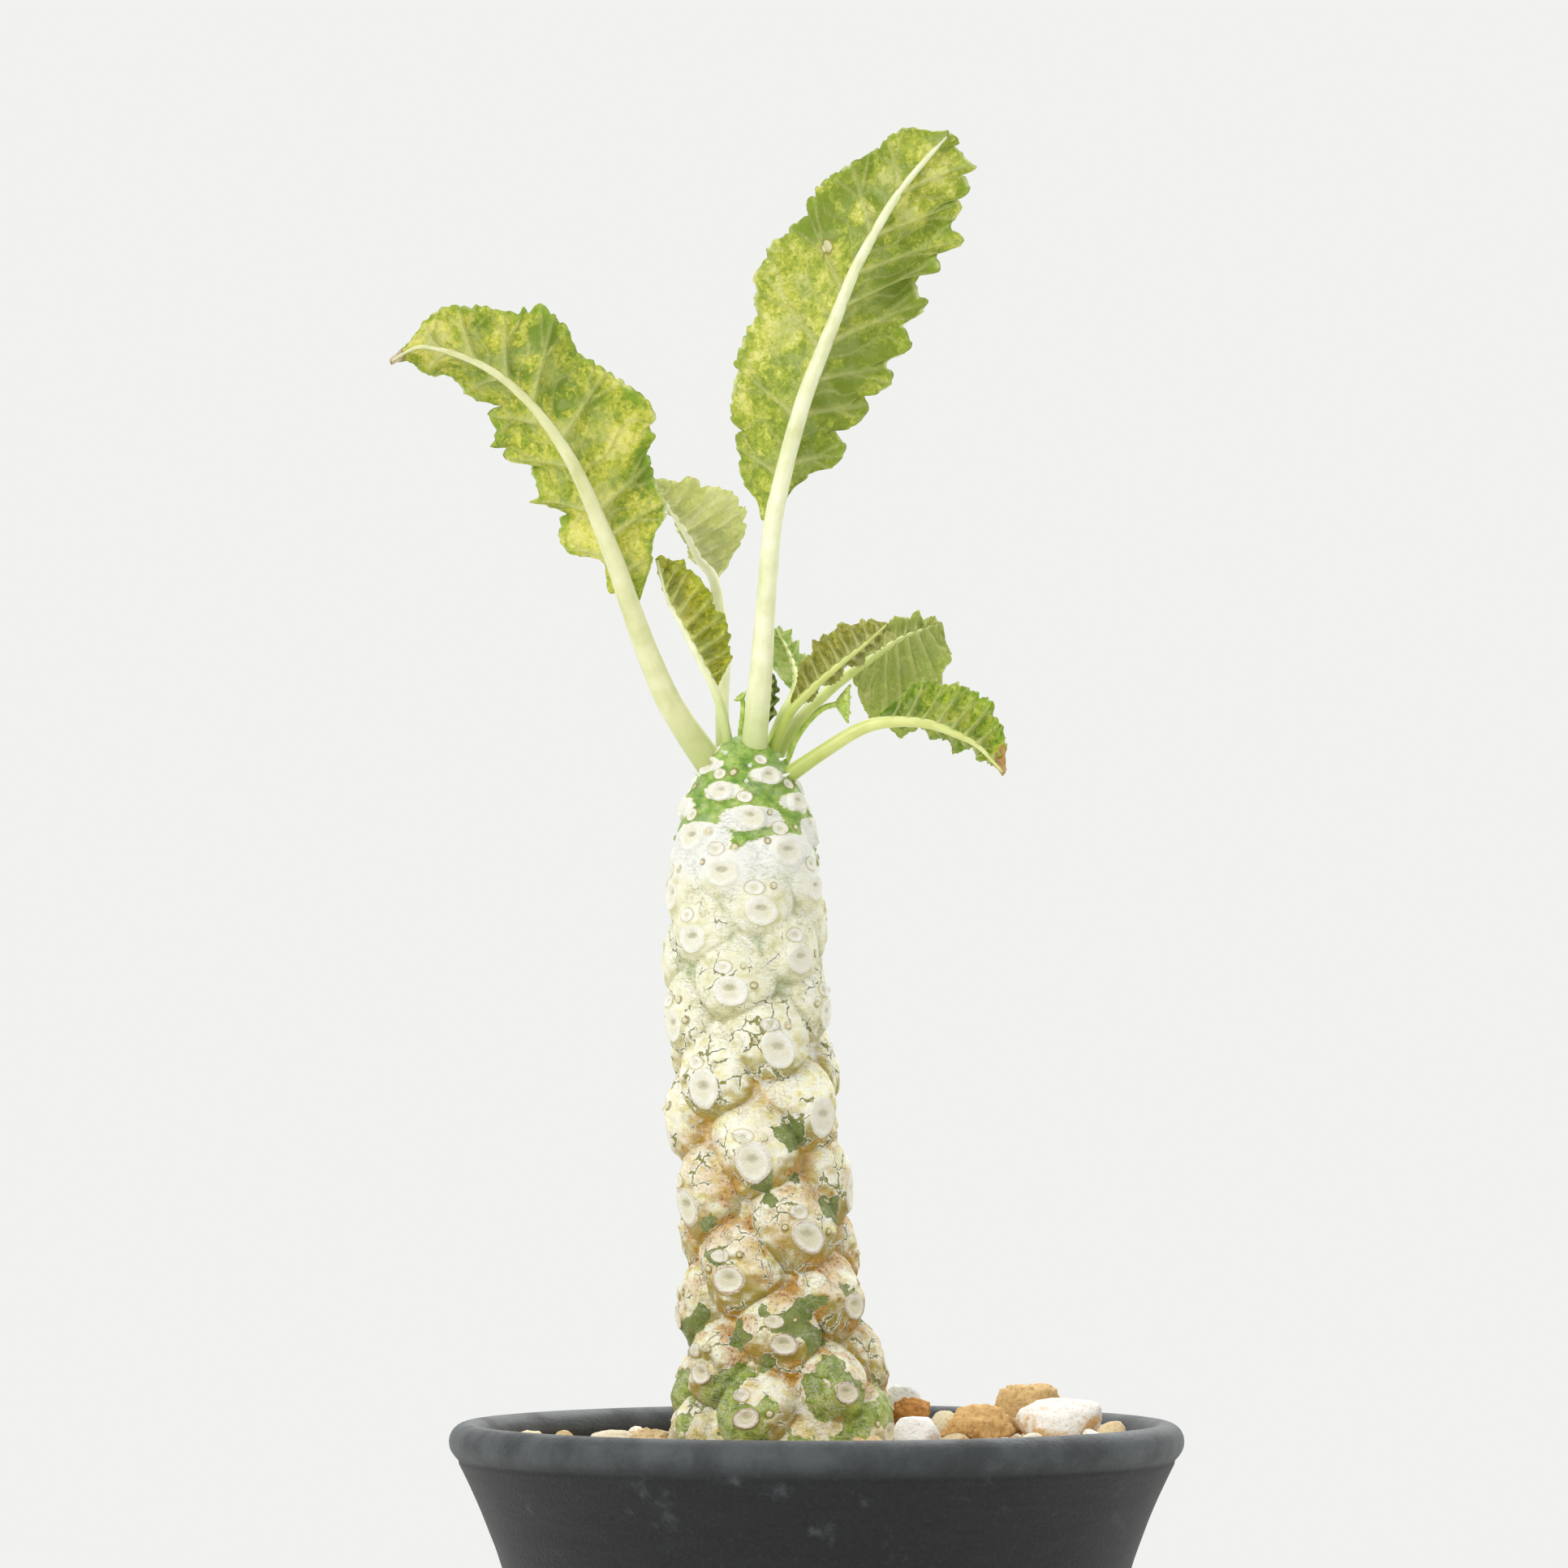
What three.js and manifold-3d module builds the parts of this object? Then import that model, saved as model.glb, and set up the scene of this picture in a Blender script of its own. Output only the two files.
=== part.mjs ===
// Potted Dorstenia horwoodii: a knobbly, scarred succulent stem that leans a little, with a crown of
// toothed, variegated leaves and two small flower heads, standing in grit in a flared black pot.
// Units are millimetres, +Z is up, the origin is the centre of the pot's flat underside, and the
// plant's front faces -Y. Angles round the stem are counted from the front towards +X.
import * as THREE from "three";
import { mergeVertices } from "three/addons/utils/BufferGeometryUtils.js";
import { ConvexHull } from "three/addons/math/ConvexHull.js";
import Module from "manifold-3d";

const wasm = await Module();
wasm.setup();

const DEGREE = Math.PI / 180;
const GAP = 0.3; // clearance between pieces that touch
const MERGE = 1e-4; // points closer than this are one point
const CRUMB = 0.02; // edges shorter than this are closed up

// Pot: a trumpet-flared, matt black pot with a rolled rim.
const POT_FOOT_RADIUS = 30;
const POT_FOOT_BEVEL = 1;
const POT_TAPER = 0.08; // growth of the radius for each millimetre of height
const POT_NECK = 74; // height at which the flare meets the rim
const POT_FLARE = 8.6; // radius that the flare has added at the neck
const POT_FLARE_REACH = 17.3; // how quickly the flare fades downwards
const POT_WALL = 3.3;
const POT_FLOOR = 3.5;
const POT_SECTORS = 48;
const POT_WALL_HEIGHTS = [20, 44, 57, 65, 70.5];
const RIM = { radius: 42.9, height: 75.7, half: 2.3, turns: [-40, -5, 40, 90, 140, 185] };
const DRAIN = { count: 5, radius: 2.4, circle: 15, sides: 8 };

// Stem: its radius, axis and swelling at heights above the pot's foot.
const STEM_FOOT = 58;
const STEM_TIP = 162.6;
const STEM_RADIUS = [
  [58, 4.5], [61, 8.5], [67, 12.2], [73, 13.3], [78, 13.2], [83, 12.2], [88, 11.1], [98, 10.1], [108, 9.9],
  [118, 9.8], [128, 9.5], [138, 9.5], [148, 8.8], [153, 7.8], [156, 6.6], [158.7, 5.3], [160.6, 4.0],
  [161.8, 2.6], [162.4, 1.2], [162.6, 0.2],
];
const STEM_AXIS_X = [
  [58, -3.7], [74, -3.9], [83, -3.9], [88, -4.7], [98, -5.7], [108, -6.8], [118, -7.7], [128, -8.4],
  [138, -8.7], [148, -8.7], [163, -8.7],
];
const STEM_SWELL = [
  [58, 0], [70, 0.4], [78, 1.3], [92, 1.7], [112, 1.6], [126, 1.1], [138, 0.6], [150, 0.3], [163, 0],
];

// Leaf scars climb the stem in one spiral; they are numbered from the one at mid front.
const SCAR_FIRST = -25;
const SCAR_LAST = 44;
const SCAR_START_DEG = -4;
const SCAR_TURN_DEG = 137.9;
const SCAR_CLIMB = [
  [-27, 73.5], [-22, 78], [-13, 88], [-5, 101], [5, 119], [13, 131], [21, 140.8], [29, 148.1], [34, 152.3],
  [39, 155.5], [46, 160],
]; // [scar's number, height]
const SCAR = { radius: 2.15, rim: 0.4, dish: 0.1, skirt: 0.35, sides: 7, crowding: 7 };
const CUSHION = { across: 0.66, up: 0.58, lift: 0.04, blend: 8, mean: 0.45 }; // in spacings of the scars
const FLOWER_SCAR = { across: -0.8, up: 3, radius: 1.3, height: 0.4, sides: 5, room: 0.55, highest: 156 };
const SPINE = { length: 1.1, radius: 0.35, sides: 4 };
const SPINES = [
  [-35, 160.2], [6, 158.6], [1, 156.7], [65, 159.4], [53, 157.4], [120, 158.8], [165, 160], [-150, 158.2],
  [-100, 159.6], [-75, 157.6], [150, 156.5],
]; // [angle in degrees, height]
const SKIN_NET = [
  { from: STEM_FOOT, to: 72, row: 4, spacing: 5 },
  { from: 72, to: 155, row: 2.5, spacing: 2.7 },
  { from: 155, to: STEM_TIP, row: 1.6, spacing: 2.7 },
]; // points between the scars
const SKIN_ROOM = 0.75;

// Grit: its level, and the grains raised on it.
const GRIT_LEVEL = 75;
const GRIT_SLOPE = 0.028;
const GRIT_RINGS = 10;
const HEAPS = [
  { x: 14, y: 8, reach: 9, height: 1.8 },
  { x: -35, y: -4, reach: 5, height: 1.1 },
]; // where the grit is heaped up under stones
const GRAIN = { spacing: 4.6, radius: 2.85, height: 1.5 };

// Blades: 0.6 mm thick sheets from the rib to a toothed margin.
const BLADE_THICKNESS = 0.6;
const BLADE_ENDS = [0.01, 0.985]; // shares of the blade's length at which its sheet starts and ends
const BLADE_ACROSS = [0, 0.5, 0.84, 1]; // where a big blade's points lie from rib to margin
const YOUNG_ACROSS = [0, 0.7, 1];
const BLADE_ARCH = 0.5; // how far a half blade bows out of its plane
const BLADE_WAVES = 4.5;
const TOOTH_RISE = 0.72;
const STALK_HEEL = 0.18; // how much wider a stalk is where it meets the stem

// Each leaf: its rib from inside the stem to the tip, the number of rib points below the blade, the
// stalk's radius at its foot, at the blade and at the tip, and the blade's two margins at even steps
// from its base to its tip. Margins are [across, height], and "back" is how far that half folds
// away behind the rib. "teeth" are their number and depth.
const LEAVES = {
  leaf_upright: {
    colour: 0x9fb24c,
    rib: [[-7.9, -1.5, 158.6], [-6.9, -4.2, 169.4], [-6.2, -5.6, 178.4], [-5.4, -6.8, 187.8],
      [-4.4, -7.4, 192.9], [-3, -8, 198.4], [-1.4, -8.6, 203.8], [0.5, -9.2, 208.8],
      [2.5, -9.7, 213.7], [4.5, -10.1, 218.7], [6.9, -10.4, 223.3], [9.7, -10.5, 228],
      [13.1, -10.5, 232.3], [16.6, -10.3, 236.1]],
    bladeFrom: 3,
    stalk: [1.45, 1.15, 0.38],
    left: { back: 5, teeth: [14, 0.5], edge: [[-6.3, 188.3], [-9.7, 195.9], [-10.2, 202.4],
      [-9.9, 208.9], [-7.6, 217.9], [-4.4, 224], [-0.2, 229.2], [4.1, 232.4], [8.1, 234.9],
      [12.3, 236.4], [16.6, 236.3]] },
    right: { back: 4, teeth: [14.3, 1.7], edge: [[-4.9, 188.7], [-1.6, 193.8], [3.3, 199.4],
      [7.6, 205.1], [10.8, 211.4], [13.5, 217.6], [15.7, 222.7], [17.4, 227.4], [18.3, 231.5],
      [17.8, 234.6], [16.8, 236.2]] },
    steps: 43,
    ripple: 0.7,
  },
  leaf_arching: {
    colour: 0xb4bf5c,
    rib: [[-12, -0.4, 157.4], [-17.7, -2.6, 165.8], [-20.9, -4.2, 172.9], [-23.1, -5.4, 178.9],
      [-24.6, -6.2, 183.3], [-26.4, -6.8, 187.8], [-28.2, -7.4, 192.1], [-30.3, -7.9, 196.3],
      [-32.9, -8.3, 200.2], [-36, -8.5, 203.8], [-39.7, -8.5, 206.8], [-43.9, -8.4, 208.8],
      [-48.6, -8.2, 209.8], [-52.8, -7.8, 207.7]],
    bladeFrom: 3,
    stalk: [1.65, 1.22, 0.38],
    left: { back: 8, teeth: [13, 1.2], edge: [[-23.9, 179.1], [-27.6, 183.6], [-31.3, 187.6],
      [-34.5, 193.2], [-37.9, 197.6], [-40.1, 201.7], [-42.3, 205], [-45, 206.1], [-47.2, 207.2],
      [-49.7, 208.4], [-52.8, 207.6]] },
    right: { back: 4, teeth: [14, 1], edge: [[-21.9, 178.5], [-20, 185.7], [-19.5, 192.4],
      [-20.8, 199.9], [-23.4, 205.2], [-28.3, 209.5], [-33.7, 213.6], [-40.1, 214.8], [-45.8, 214],
      [-50, 211.2], [-52.8, 207.7]] },
    steps: 43,
    ripple: 0.8,
  },
  leaf_young_left: {
    colour: 0x8f9030,
    rib: [[-10.7, -1, 160.6], [-11.5, -1.4, 164.7], [-12.5, -1.7, 168], [-14.4, -2, 171.8],
      [-16.4, -2.3, 175.6], [-18.4, -2.5, 179.5], [-19.7, -2.7, 184.5]],
    bladeFrom: 2,
    stalk: [0.64, 0.55, 0.36],
    left: { back: 7, teeth: [8, 0.4], edge: [[-12.8, 168.1], [-11.2, 172.7], [-12.6, 176.8],
      [-15.6, 181.8], [-19.6, 184.4]] },
    right: { back: 2, teeth: [8, 0.5], edge: [[-12.2, 168.3], [-10.6, 172.9], [-12.1, 178.1],
      [-15.8, 183.1], [-19.5, 184.7]] },
    steps: 16,
    ripple: 0.5,
  },
  leaf_young_right: {
    colour: 0x6b6a2a,
    rib: [[-5.6, -0.8, 160.3], [-4, -2.2, 163.6], [-2.9, -3.4, 165.6], [-0.1, -4, 168.5],
      [3, -4.6, 171.2], [6, -5.2, 173.6], [8.8, -5.8, 176.1]],
    bladeFrom: 2,
    stalk: [0.75, 0.6, 0.36],
    left: { back: 2.5, teeth: [8, 0.5], edge: [[-3.2, 166.4], [-1.9, 170.8], [0.4, 174.1],
      [4.2, 176.1], [8.9, 176.2]] },
    right: { back: 6, teeth: [8, 0.4], edge: [[-2.6, 165.6], [0, 167.9], [3.6, 170.6], [6.7, 172.7],
      [8.9, 175.6]] },
    steps: 16,
    ripple: 0.5,
  },
  leaf_right_drooping: {
    colour: 0x8fae3c,
    rib: [[-4.4, -1.4, 156.9], [1.1, -3.2, 160.6], [4.9, -4.2, 162.9], [7.5, -4.9, 163.8],
      [10.7, -5.6, 164], [14, -6.2, 163.6], [17.1, -6.8, 162.4], [19.9, -7.2, 160.8],
      [23.2, -7.5, 157.3]],
    bladeFrom: 3,
    stalk: [0.95, 0.8, 0.36],
    left: { back: 3, teeth: [8, 0.5], edge: [[7.6, 164.8], [11.8, 168.3], [15.9, 168.7], [19.8, 167.5],
      [22.4, 164], [23.3, 157.6]] },
    right: { back: 7, teeth: [8, 0.5], edge: [[7.8, 163.7], [10.9, 163.9], [14.4, 162.8],
      [17.1, 161.1], [20, 160.1], [23.1, 157.2]] },
    steps: 16,
    ripple: 0.5,
  },
  leaf_back_right: {
    colour: 0x8a9a4a,
    rib: [[-5.5, 1.2, 159.1], [-2.2, 6, 164.4], [1.5, 11, 168.4], [4.5, 14, 170.9], [7.5, 17.5, 173.1],
      [10.5, 20.5, 175.2], [13.4, 23, 176.5], [16.1, 25, 177.5]],
    bladeFrom: 3,
    stalk: [0.85, 0.65, 0.36],
    left: { back: 3, teeth: [8, 0.6], edge: [[4.9, 171.7], [7.2, 175.8], [10.3, 177.8], [13.4, 178.3],
      [16.1, 177.6]] },
    right: { back: -2, teeth: [8, 0.7], edge: [[4.8, 170.8], [6, 166.9], [11.5, 163.1], [16.3, 171],
      [16.1, 177.2]] },
    steps: 16,
    ripple: 0.5,
  },
  leaf_back_left: {
    colour: 0xa3b060,
    rib: [[-11.4, 2, 159.2], [-11.7, 6.5, 166.1], [-11.5, 11.5, 173.6], [-12.7, 15.5, 182.2],
      [-14.6, 17.5, 185.1], [-16.2, 19.5, 188.3], [-18.1, 21.5, 191.3], [-20.5, 23, 195.1]],
    bladeFrom: 3,
    stalk: [0.9, 0.7, 0.36],
    left: { back: 7, teeth: [8, 0.5], edge: [[-12.9, 182.4], [-15.3, 185.9], [-17.2, 189.9],
      [-18.8, 193.4], [-20.5, 195.3]] },
    right: { back: 3, teeth: [8, 0.7], edge: [[-12.3, 182.6], [-9.4, 187.5], [-9.3, 192.4],
      [-14, 195.1], [-20.4, 195.7]] },
    steps: 16,
    ripple: 0.5,
  },
  leaf_back_centre: {
    colour: 0xa9bf5a,
    rib: [[-6.5, 2.4, 159.4], [-4.3, 7, 165], [-2.7, 11, 168.2], [-2.6, 14, 170.7], [-3.4, 18, 173.4],
      [-5, 22, 176.8]],
    bladeFrom: 2,
    stalk: [0.7, 0.55, 0.36],
    left: { back: 3, teeth: [7, 0.4], edge: [[-3.1, 168.6], [-5.4, 171.6], [-6, 174.7], [-5.2, 176.9]] },
    right: { back: 3, teeth: [7, 0.4], edge: [[-2.3, 168.3], [-1.4, 172], [-2.5, 174.8], [-4.7, 177.1]] },
    steps: 14,
    ripple: 0.5,
  },
  leaf_bud_centre: {
    colour: 0x6f9a3a,
    rib: [[-7, 0.5, 160.9], [-6.4, 0.9, 163.6], [-6.1, 0.9, 166], [-5.8, 0.6, 168.1], [-5.6, 0.4, 170.2]],
    bladeFrom: 1,
    stalk: [0.45, 0.42, 0.36],
    left: { back: 2.4, teeth: [4, 0.2], edge: [[-6.8, 163.8], [-6.5, 166.6], [-6.1, 168.6],
      [-5.7, 170.3]] },
    right: { back: 0.8, teeth: [4, 0.25], edge: [[-6, 163.7], [-5.2, 166.4], [-5.1, 168.4],
      [-5.5, 170.2]] },
    steps: 8,
    ripple: 0.2,
  },
};

// Flower heads: a lobed disc, seen edge on, at the end of a bowed stalk.
const FLOWERS = {
  flower_right: {
    stalk: [
      [-4.6, 0.3, 157.6], [-3.6, 0.2, 159.4], [-2.6, 0.1, 161.9], [-1, -0.3, 164.2], [0.8, -0.8, 165.8],
      [2.7, -1, 166.4],
    ],
    facing: [1, -0.1, -0.05],
    radius: 2.1,
    stalkRadius: 0.38,
  },
  flower_left: {
    stalk: [[-9.6, 1.2, 160.8], [-9.4, 1.2, 163], [-9.1, 1.3, 165.6], [-9.1, 1.3, 167]],
    facing: [-0.6, -0.3, 0.75],
    radius: 0.85,
    stalkRadius: 0.3,
  },
};

const DISC_PROFILE = [[0, -0.5], [0.25, -0.45], [0.85, 0.05], [1, 0.2], [0.8, 0.25], [0, 0.2]]; // in radii
const ARM = { count: 7, radius: 0.15, length: 0.55, splay: 1.2 }; // sizes in radii, angle in radians

// Stones on the grit: centre, half sizes, seed of the facets and how sharp the edges are.
const STONES = {
  stone_white_sharp: { at: [12.6, -14, 77.1], half: [2.9, 2.6, 2.5], seed: 3, sharp: 14, colour: 0xf2f2ee },
  stone_tan_rough: { at: [19.4, -8, 77.3], half: [4.1, 3.4, 3.5], seed: 11, sharp: 8, colour: 0xc99a55 },
  stone_white_tan: { at: [30.6, -6, 77.9], half: [5.4, 4.6, 3.8], seed: 7, sharp: 8, colour: 0xf0e6d2 },
  stone_tan_back: { at: [26.5, 6.5, 79.1], half: [3.7, 3.2, 3.6], seed: 21, sharp: 9, colour: 0xc7a468 },
  stone_cream_mid: { at: [20.8, 2.6, 78.3], half: [2.0, 1.8, 1.9], seed: 5, sharp: 7, colour: 0xe6dfc4 },
  stone_grey_mid: { at: [15.6, -1.0, 77.9], half: [1.9, 1.7, 1.9], seed: 9, sharp: 7, colour: 0xc8bd9c },
  stone_brown_by_stem: { at: [11.9, 2.6, 78.6], half: [2.4, 2.3, 2.5], seed: 13, sharp: 8, colour: 0xb07a35 },
  stone_pale_back: { at: [11.0, 12.5, 79.4], half: [2.5, 2.4, 3.0], seed: 17, sharp: 9, colour: 0xe9ece9 },
  stone_tan_left: { at: [-20.2, -5, 75.9], half: [2.5, 2.2, 1.9], seed: 19, sharp: 6, colour: 0xd9b27c },
  stone_cream_left: { at: [-25.3, -12, 76.0], half: [3.0, 2.4, 1.9], seed: 23, sharp: 6, colour: 0xe8d9b6 },
  stone_small_left: { at: [-30.9, -9, 75.6], half: [1.6, 1.5, 1.4], seed: 29, sharp: 6, colour: 0xdcc9a2 },
  stone_far_left: { at: [-35.2, -4, 76.0], half: [1.7, 1.5, 1.3], seed: 31, sharp: 6, colour: 0xe2d2ab },
};
const FACET_COUNT = 11;
const ROUNDNESS = 0.85; // how much of the ball is left between a stone's facets

// A smooth curve through [x, y] points, whose slope at each point is that of its neighbours.
function through(points, x) {
  const last = points.length - 1;
  if (x <= points[0][0]) return points[0][1];
  if (x >= points[last][0]) return points[last][1];
  let i = 0;
  while (points[i + 1][0] < x) i++;
  const slope = (k) => {
    const [x0, y0] = points[Math.max(k - 1, 0)];
    const [x1, y1] = points[Math.min(k + 1, last)];
    return (y1 - y0) / (x1 - x0);
  };
  const [x0, y0] = points[i];
  const [x1, y1] = points[i + 1];
  const t = (x - x0) / (x1 - x0);
  const bend = (t ** 3 - 2 * t ** 2 + t) * slope(i) + (t ** 3 - t ** 2) * slope(i + 1);
  return y0 + (3 * t ** 2 - 2 * t ** 3) * (y1 - y0) + (x1 - x0) * bend;
}

// A seeded generator of numbers from 0 to 1.
function seeded(seed) {
  let state = seed >>> 0;
  return () => {
    state = (state + 0x6d2b79f5) >>> 0;
    let t = state;
    t = Math.imul(t ^ (t >>> 15), t | 1);
    t ^= t + Math.imul(t ^ (t >>> 7), t | 61);
    return ((t ^ (t >>> 14)) >>> 0) / 2 ** 32;
  };
}

function geometryOf(points, triangles) {
  const flat = points.flatMap((point) => point.toArray());
  const geometry = new THREE.BufferGeometry();
  geometry.setAttribute("position", new THREE.Float32BufferAttribute(flat, 3));
  geometry.setIndex(triangles);
  return geometry;
}

// A closed geometry as a solid, with its faces turned outwards.
function solidOf(geometry) {
  const bare = new THREE.BufferGeometry();
  bare.setAttribute("position", geometry.getAttribute("position"));
  bare.setIndex(geometry.index);
  const merged = mergeVertices(bare, MERGE);
  const corners = Array.from(merged.index.array);
  const made = (order) => {
    const triVerts = new Uint32Array(order);
    const vertProperties = merged.attributes.position.array;
    return new wasm.Manifold(new wasm.Mesh({ numProp: 3, vertProperties, triVerts }));
  };
  const solid = made(corners);
  return solid.volume() > 0 ? solid : made(corners.reverse());
}

// The named mesh of a solid, without the crumbs that a cut leaves.
function nodeOf(name, solid, colour, roughness) {
  const bodies = solid.asOriginal().simplify(CRUMB).decompose();
  const mesh = bodies.sort((a, b) => b.volume() - a.volume())[0].getMesh();
  const geometry = new THREE.BufferGeometry();
  geometry.setAttribute("position", new THREE.BufferAttribute(new Float32Array(mesh.vertProperties), 3));
  geometry.setIndex(new THREE.BufferAttribute(new Uint32Array(mesh.triVerts), 1));
  geometry.computeVertexNormals();
  const node = new THREE.Mesh(
    geometry,
    new THREE.MeshStandardMaterial({ color: colour, roughness, metalness: 0, flatShading: true }),
  );
  node.name = name;
  return node;
}

// A closed skin over rings of points, each end filled by a fan from the ring's middle.
function loft(rings) {
  const count = rings[0].length;
  const points = rings.flat();
  const triangles = [];
  for (let r = 0; r + 1 < rings.length; r++) {
    for (let s = 0; s < count; s++) {
      const a = r * count + s;
      const b = r * count + ((s + 1) % count);
      triangles.push(a, b, b + count, a, b + count, a + count);
    }
  }
  const ends = [[0, true], [(rings.length - 1) * count, false]];
  for (const [start, flip] of ends) {
    const middle = new THREE.Vector3();
    for (const point of points.slice(start, start + count)) middle.addScaledVector(point, 1 / count);
    points.push(middle);
    for (let s = 0; s < count; s++) {
      const a = start + s;
      const b = start + ((s + 1) % count);
      triangles.push(points.length - 1, flip ? b : a, flip ? a : b);
    }
  }
  return geometryOf(points, triangles);
}

// A closed sheet of even thickness over a grid of {point, normal}, split alike on both faces.
function sheet(grid, thickness) {
  const rows = grid.length;
  const columns = grid[0].length;
  const cells = grid.flat();
  const offset = (cell, side) => cell.point.clone().addScaledVector(cell.normal, (side * thickness) / 2);
  const points = [...cells.map((cell) => offset(cell, 1)), ...cells.map((cell) => offset(cell, -1))];
  const under = rows * columns;
  const at = (i, j) => i * columns + j;
  const triangles = [];
  for (let i = 0; i + 1 < rows; i++) {
    for (let j = 0; j + 1 < columns; j++) {
      const [a, b, c, d] = [at(i, j), at(i + 1, j), at(i + 1, j + 1), at(i, j + 1)];
      triangles.push(a, b, c, a, c, d);
      triangles.push(under + c, under + b, under + a, under + d, under + c, under + a);
    }
  }
  const rim = [];
  for (let i = 0; i < rows - 1; i++) rim.push(at(i, 0));
  for (let j = 0; j < columns - 1; j++) rim.push(at(rows - 1, j));
  for (let i = rows - 1; i > 0; i--) rim.push(at(i, columns - 1));
  for (let j = columns - 1; j > 0; j--) rim.push(at(0, j));
  rim.forEach((a, k) => {
    const b = rim[(k + 1) % rim.length];
    triangles.push(a, under + a, b, b, under + a, under + b);
  });
  return geometryOf(points, triangles);
}

const curveOf = (list) => {
  const points = list.map((point) => new THREE.Vector3(...point));
  return new THREE.CatmullRomCurve3(points, false, "catmullrom", 0.5);
};

// A round rod along a curve, up to a share of its length, with a radius at each share.
function rod(curve, end, steps, sides, radiusAt) {
  const depth = new THREE.Vector3(0, 1, 0);
  const rings = [];
  for (let i = 0; i <= steps; i++) {
    const t = (end * i) / steps;
    const forward = curve.getTangent(t);
    const across = depth.clone().cross(forward).normalize();
    const outwards = forward.clone().cross(across);
    const radius = radiusAt(t);
    const ring = [];
    for (let s = 0; s < sides; s++) {
      const turn = (2 * Math.PI * s) / sides;
      const point = curve.getPoint(t).addScaledVector(across, radius * Math.cos(turn));
      ring.push(point.addScaledVector(outwards, radius * Math.sin(turn)));
    }
    rings.push(ring);
  }
  return solidOf(loft(rings));
}

// Pot
function potOuter(z) {
  return POT_FOOT_RADIUS + POT_TAPER * z + POT_FLARE * Math.exp((z - POT_NECK) / POT_FLARE_REACH);
}

const potInner = (z) => potOuter(z) - POT_WALL;

function rimPoint(degrees) {
  const { radius, height, half } = RIM;
  return [radius + half * Math.cos(degrees * DEGREE), height + half * Math.sin(degrees * DEGREE)];
}

function pot() {
  const profile = [
    [0, 0],
    [POT_FOOT_RADIUS - POT_FOOT_BEVEL, 0],
    [potOuter(POT_FOOT_BEVEL), POT_FOOT_BEVEL],
    ...POT_WALL_HEIGHTS.map((z) => [potOuter(z), z]),
    [potOuter(POT_NECK), POT_NECK],
    ...RIM.turns.map(rimPoint),
    ...[...POT_WALL_HEIGHTS].reverse().map((z) => [potInner(z), z]),
    [potInner(POT_FLOOR), POT_FLOOR],
    [0, POT_FLOOR],
  ];
  const turned = new THREE.LatheGeometry(profile.map(([x, y]) => new THREE.Vector2(x, y)), POT_SECTORS);
  let solid = solidOf(turned.rotateX(Math.PI / 2));
  for (let i = 0; i < DRAIN.count; i++) {
    const turn = (2 * Math.PI * i) / DRAIN.count;
    const hole = new THREE.CylinderGeometry(DRAIN.radius, DRAIN.radius, 3 * POT_FLOOR, DRAIN.sides);
    hole.rotateX(Math.PI / 2);
    hole.translate(DRAIN.circle * Math.cos(turn), DRAIN.circle * Math.sin(turn), POT_FLOOR / 2);
    solid = solid.subtract(solidOf(hole));
  }
  return solid;
}

// Stem
const scars = [];
for (let n = SCAR_FIRST; n <= SCAR_LAST; n++) {
  const z = through(SCAR_CLIMB, n);
  const climb = through(SCAR_CLIMB, n + 0.5) - through(SCAR_CLIMB, n - 0.5);
  const turn = (SCAR_START_DEG + SCAR_TURN_DEG * n) * DEGREE;
  const pitch = Math.sqrt(2 * Math.PI * through(STEM_RADIUS, z) * climb);
  scars.push({ z, turn, pitch });
}

const wrapped = (turn) => Math.atan2(Math.sin(turn), Math.cos(turn));

// How high the leaf cushions stand at a place, from 0 in the creases to 1 on their crowns. The
// highest cushion there wins, blended a little with its neighbours.
function cushion(turn, z) {
  const radius = through(STEM_RADIUS, z);
  let sum = 0;
  for (const scar of scars) {
    const up = (z - scar.z) / scar.pitch;
    if (Math.abs(up) > 1) continue;
    const across = (radius * wrapped(turn - scar.turn)) / scar.pitch;
    const reach = (across / CUSHION.across) ** 2 + ((up - CUSHION.lift) / CUSHION.up) ** 2;
    sum += Math.max(0, 1 - reach) ** CUSHION.blend;
  }
  return sum ** (1 / CUSHION.blend);
}

function stemRadius(turn, z) {
  return through(STEM_RADIUS, z) + through(STEM_SWELL, z) * (cushion(turn, z) - CUSHION.mean);
}

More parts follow.
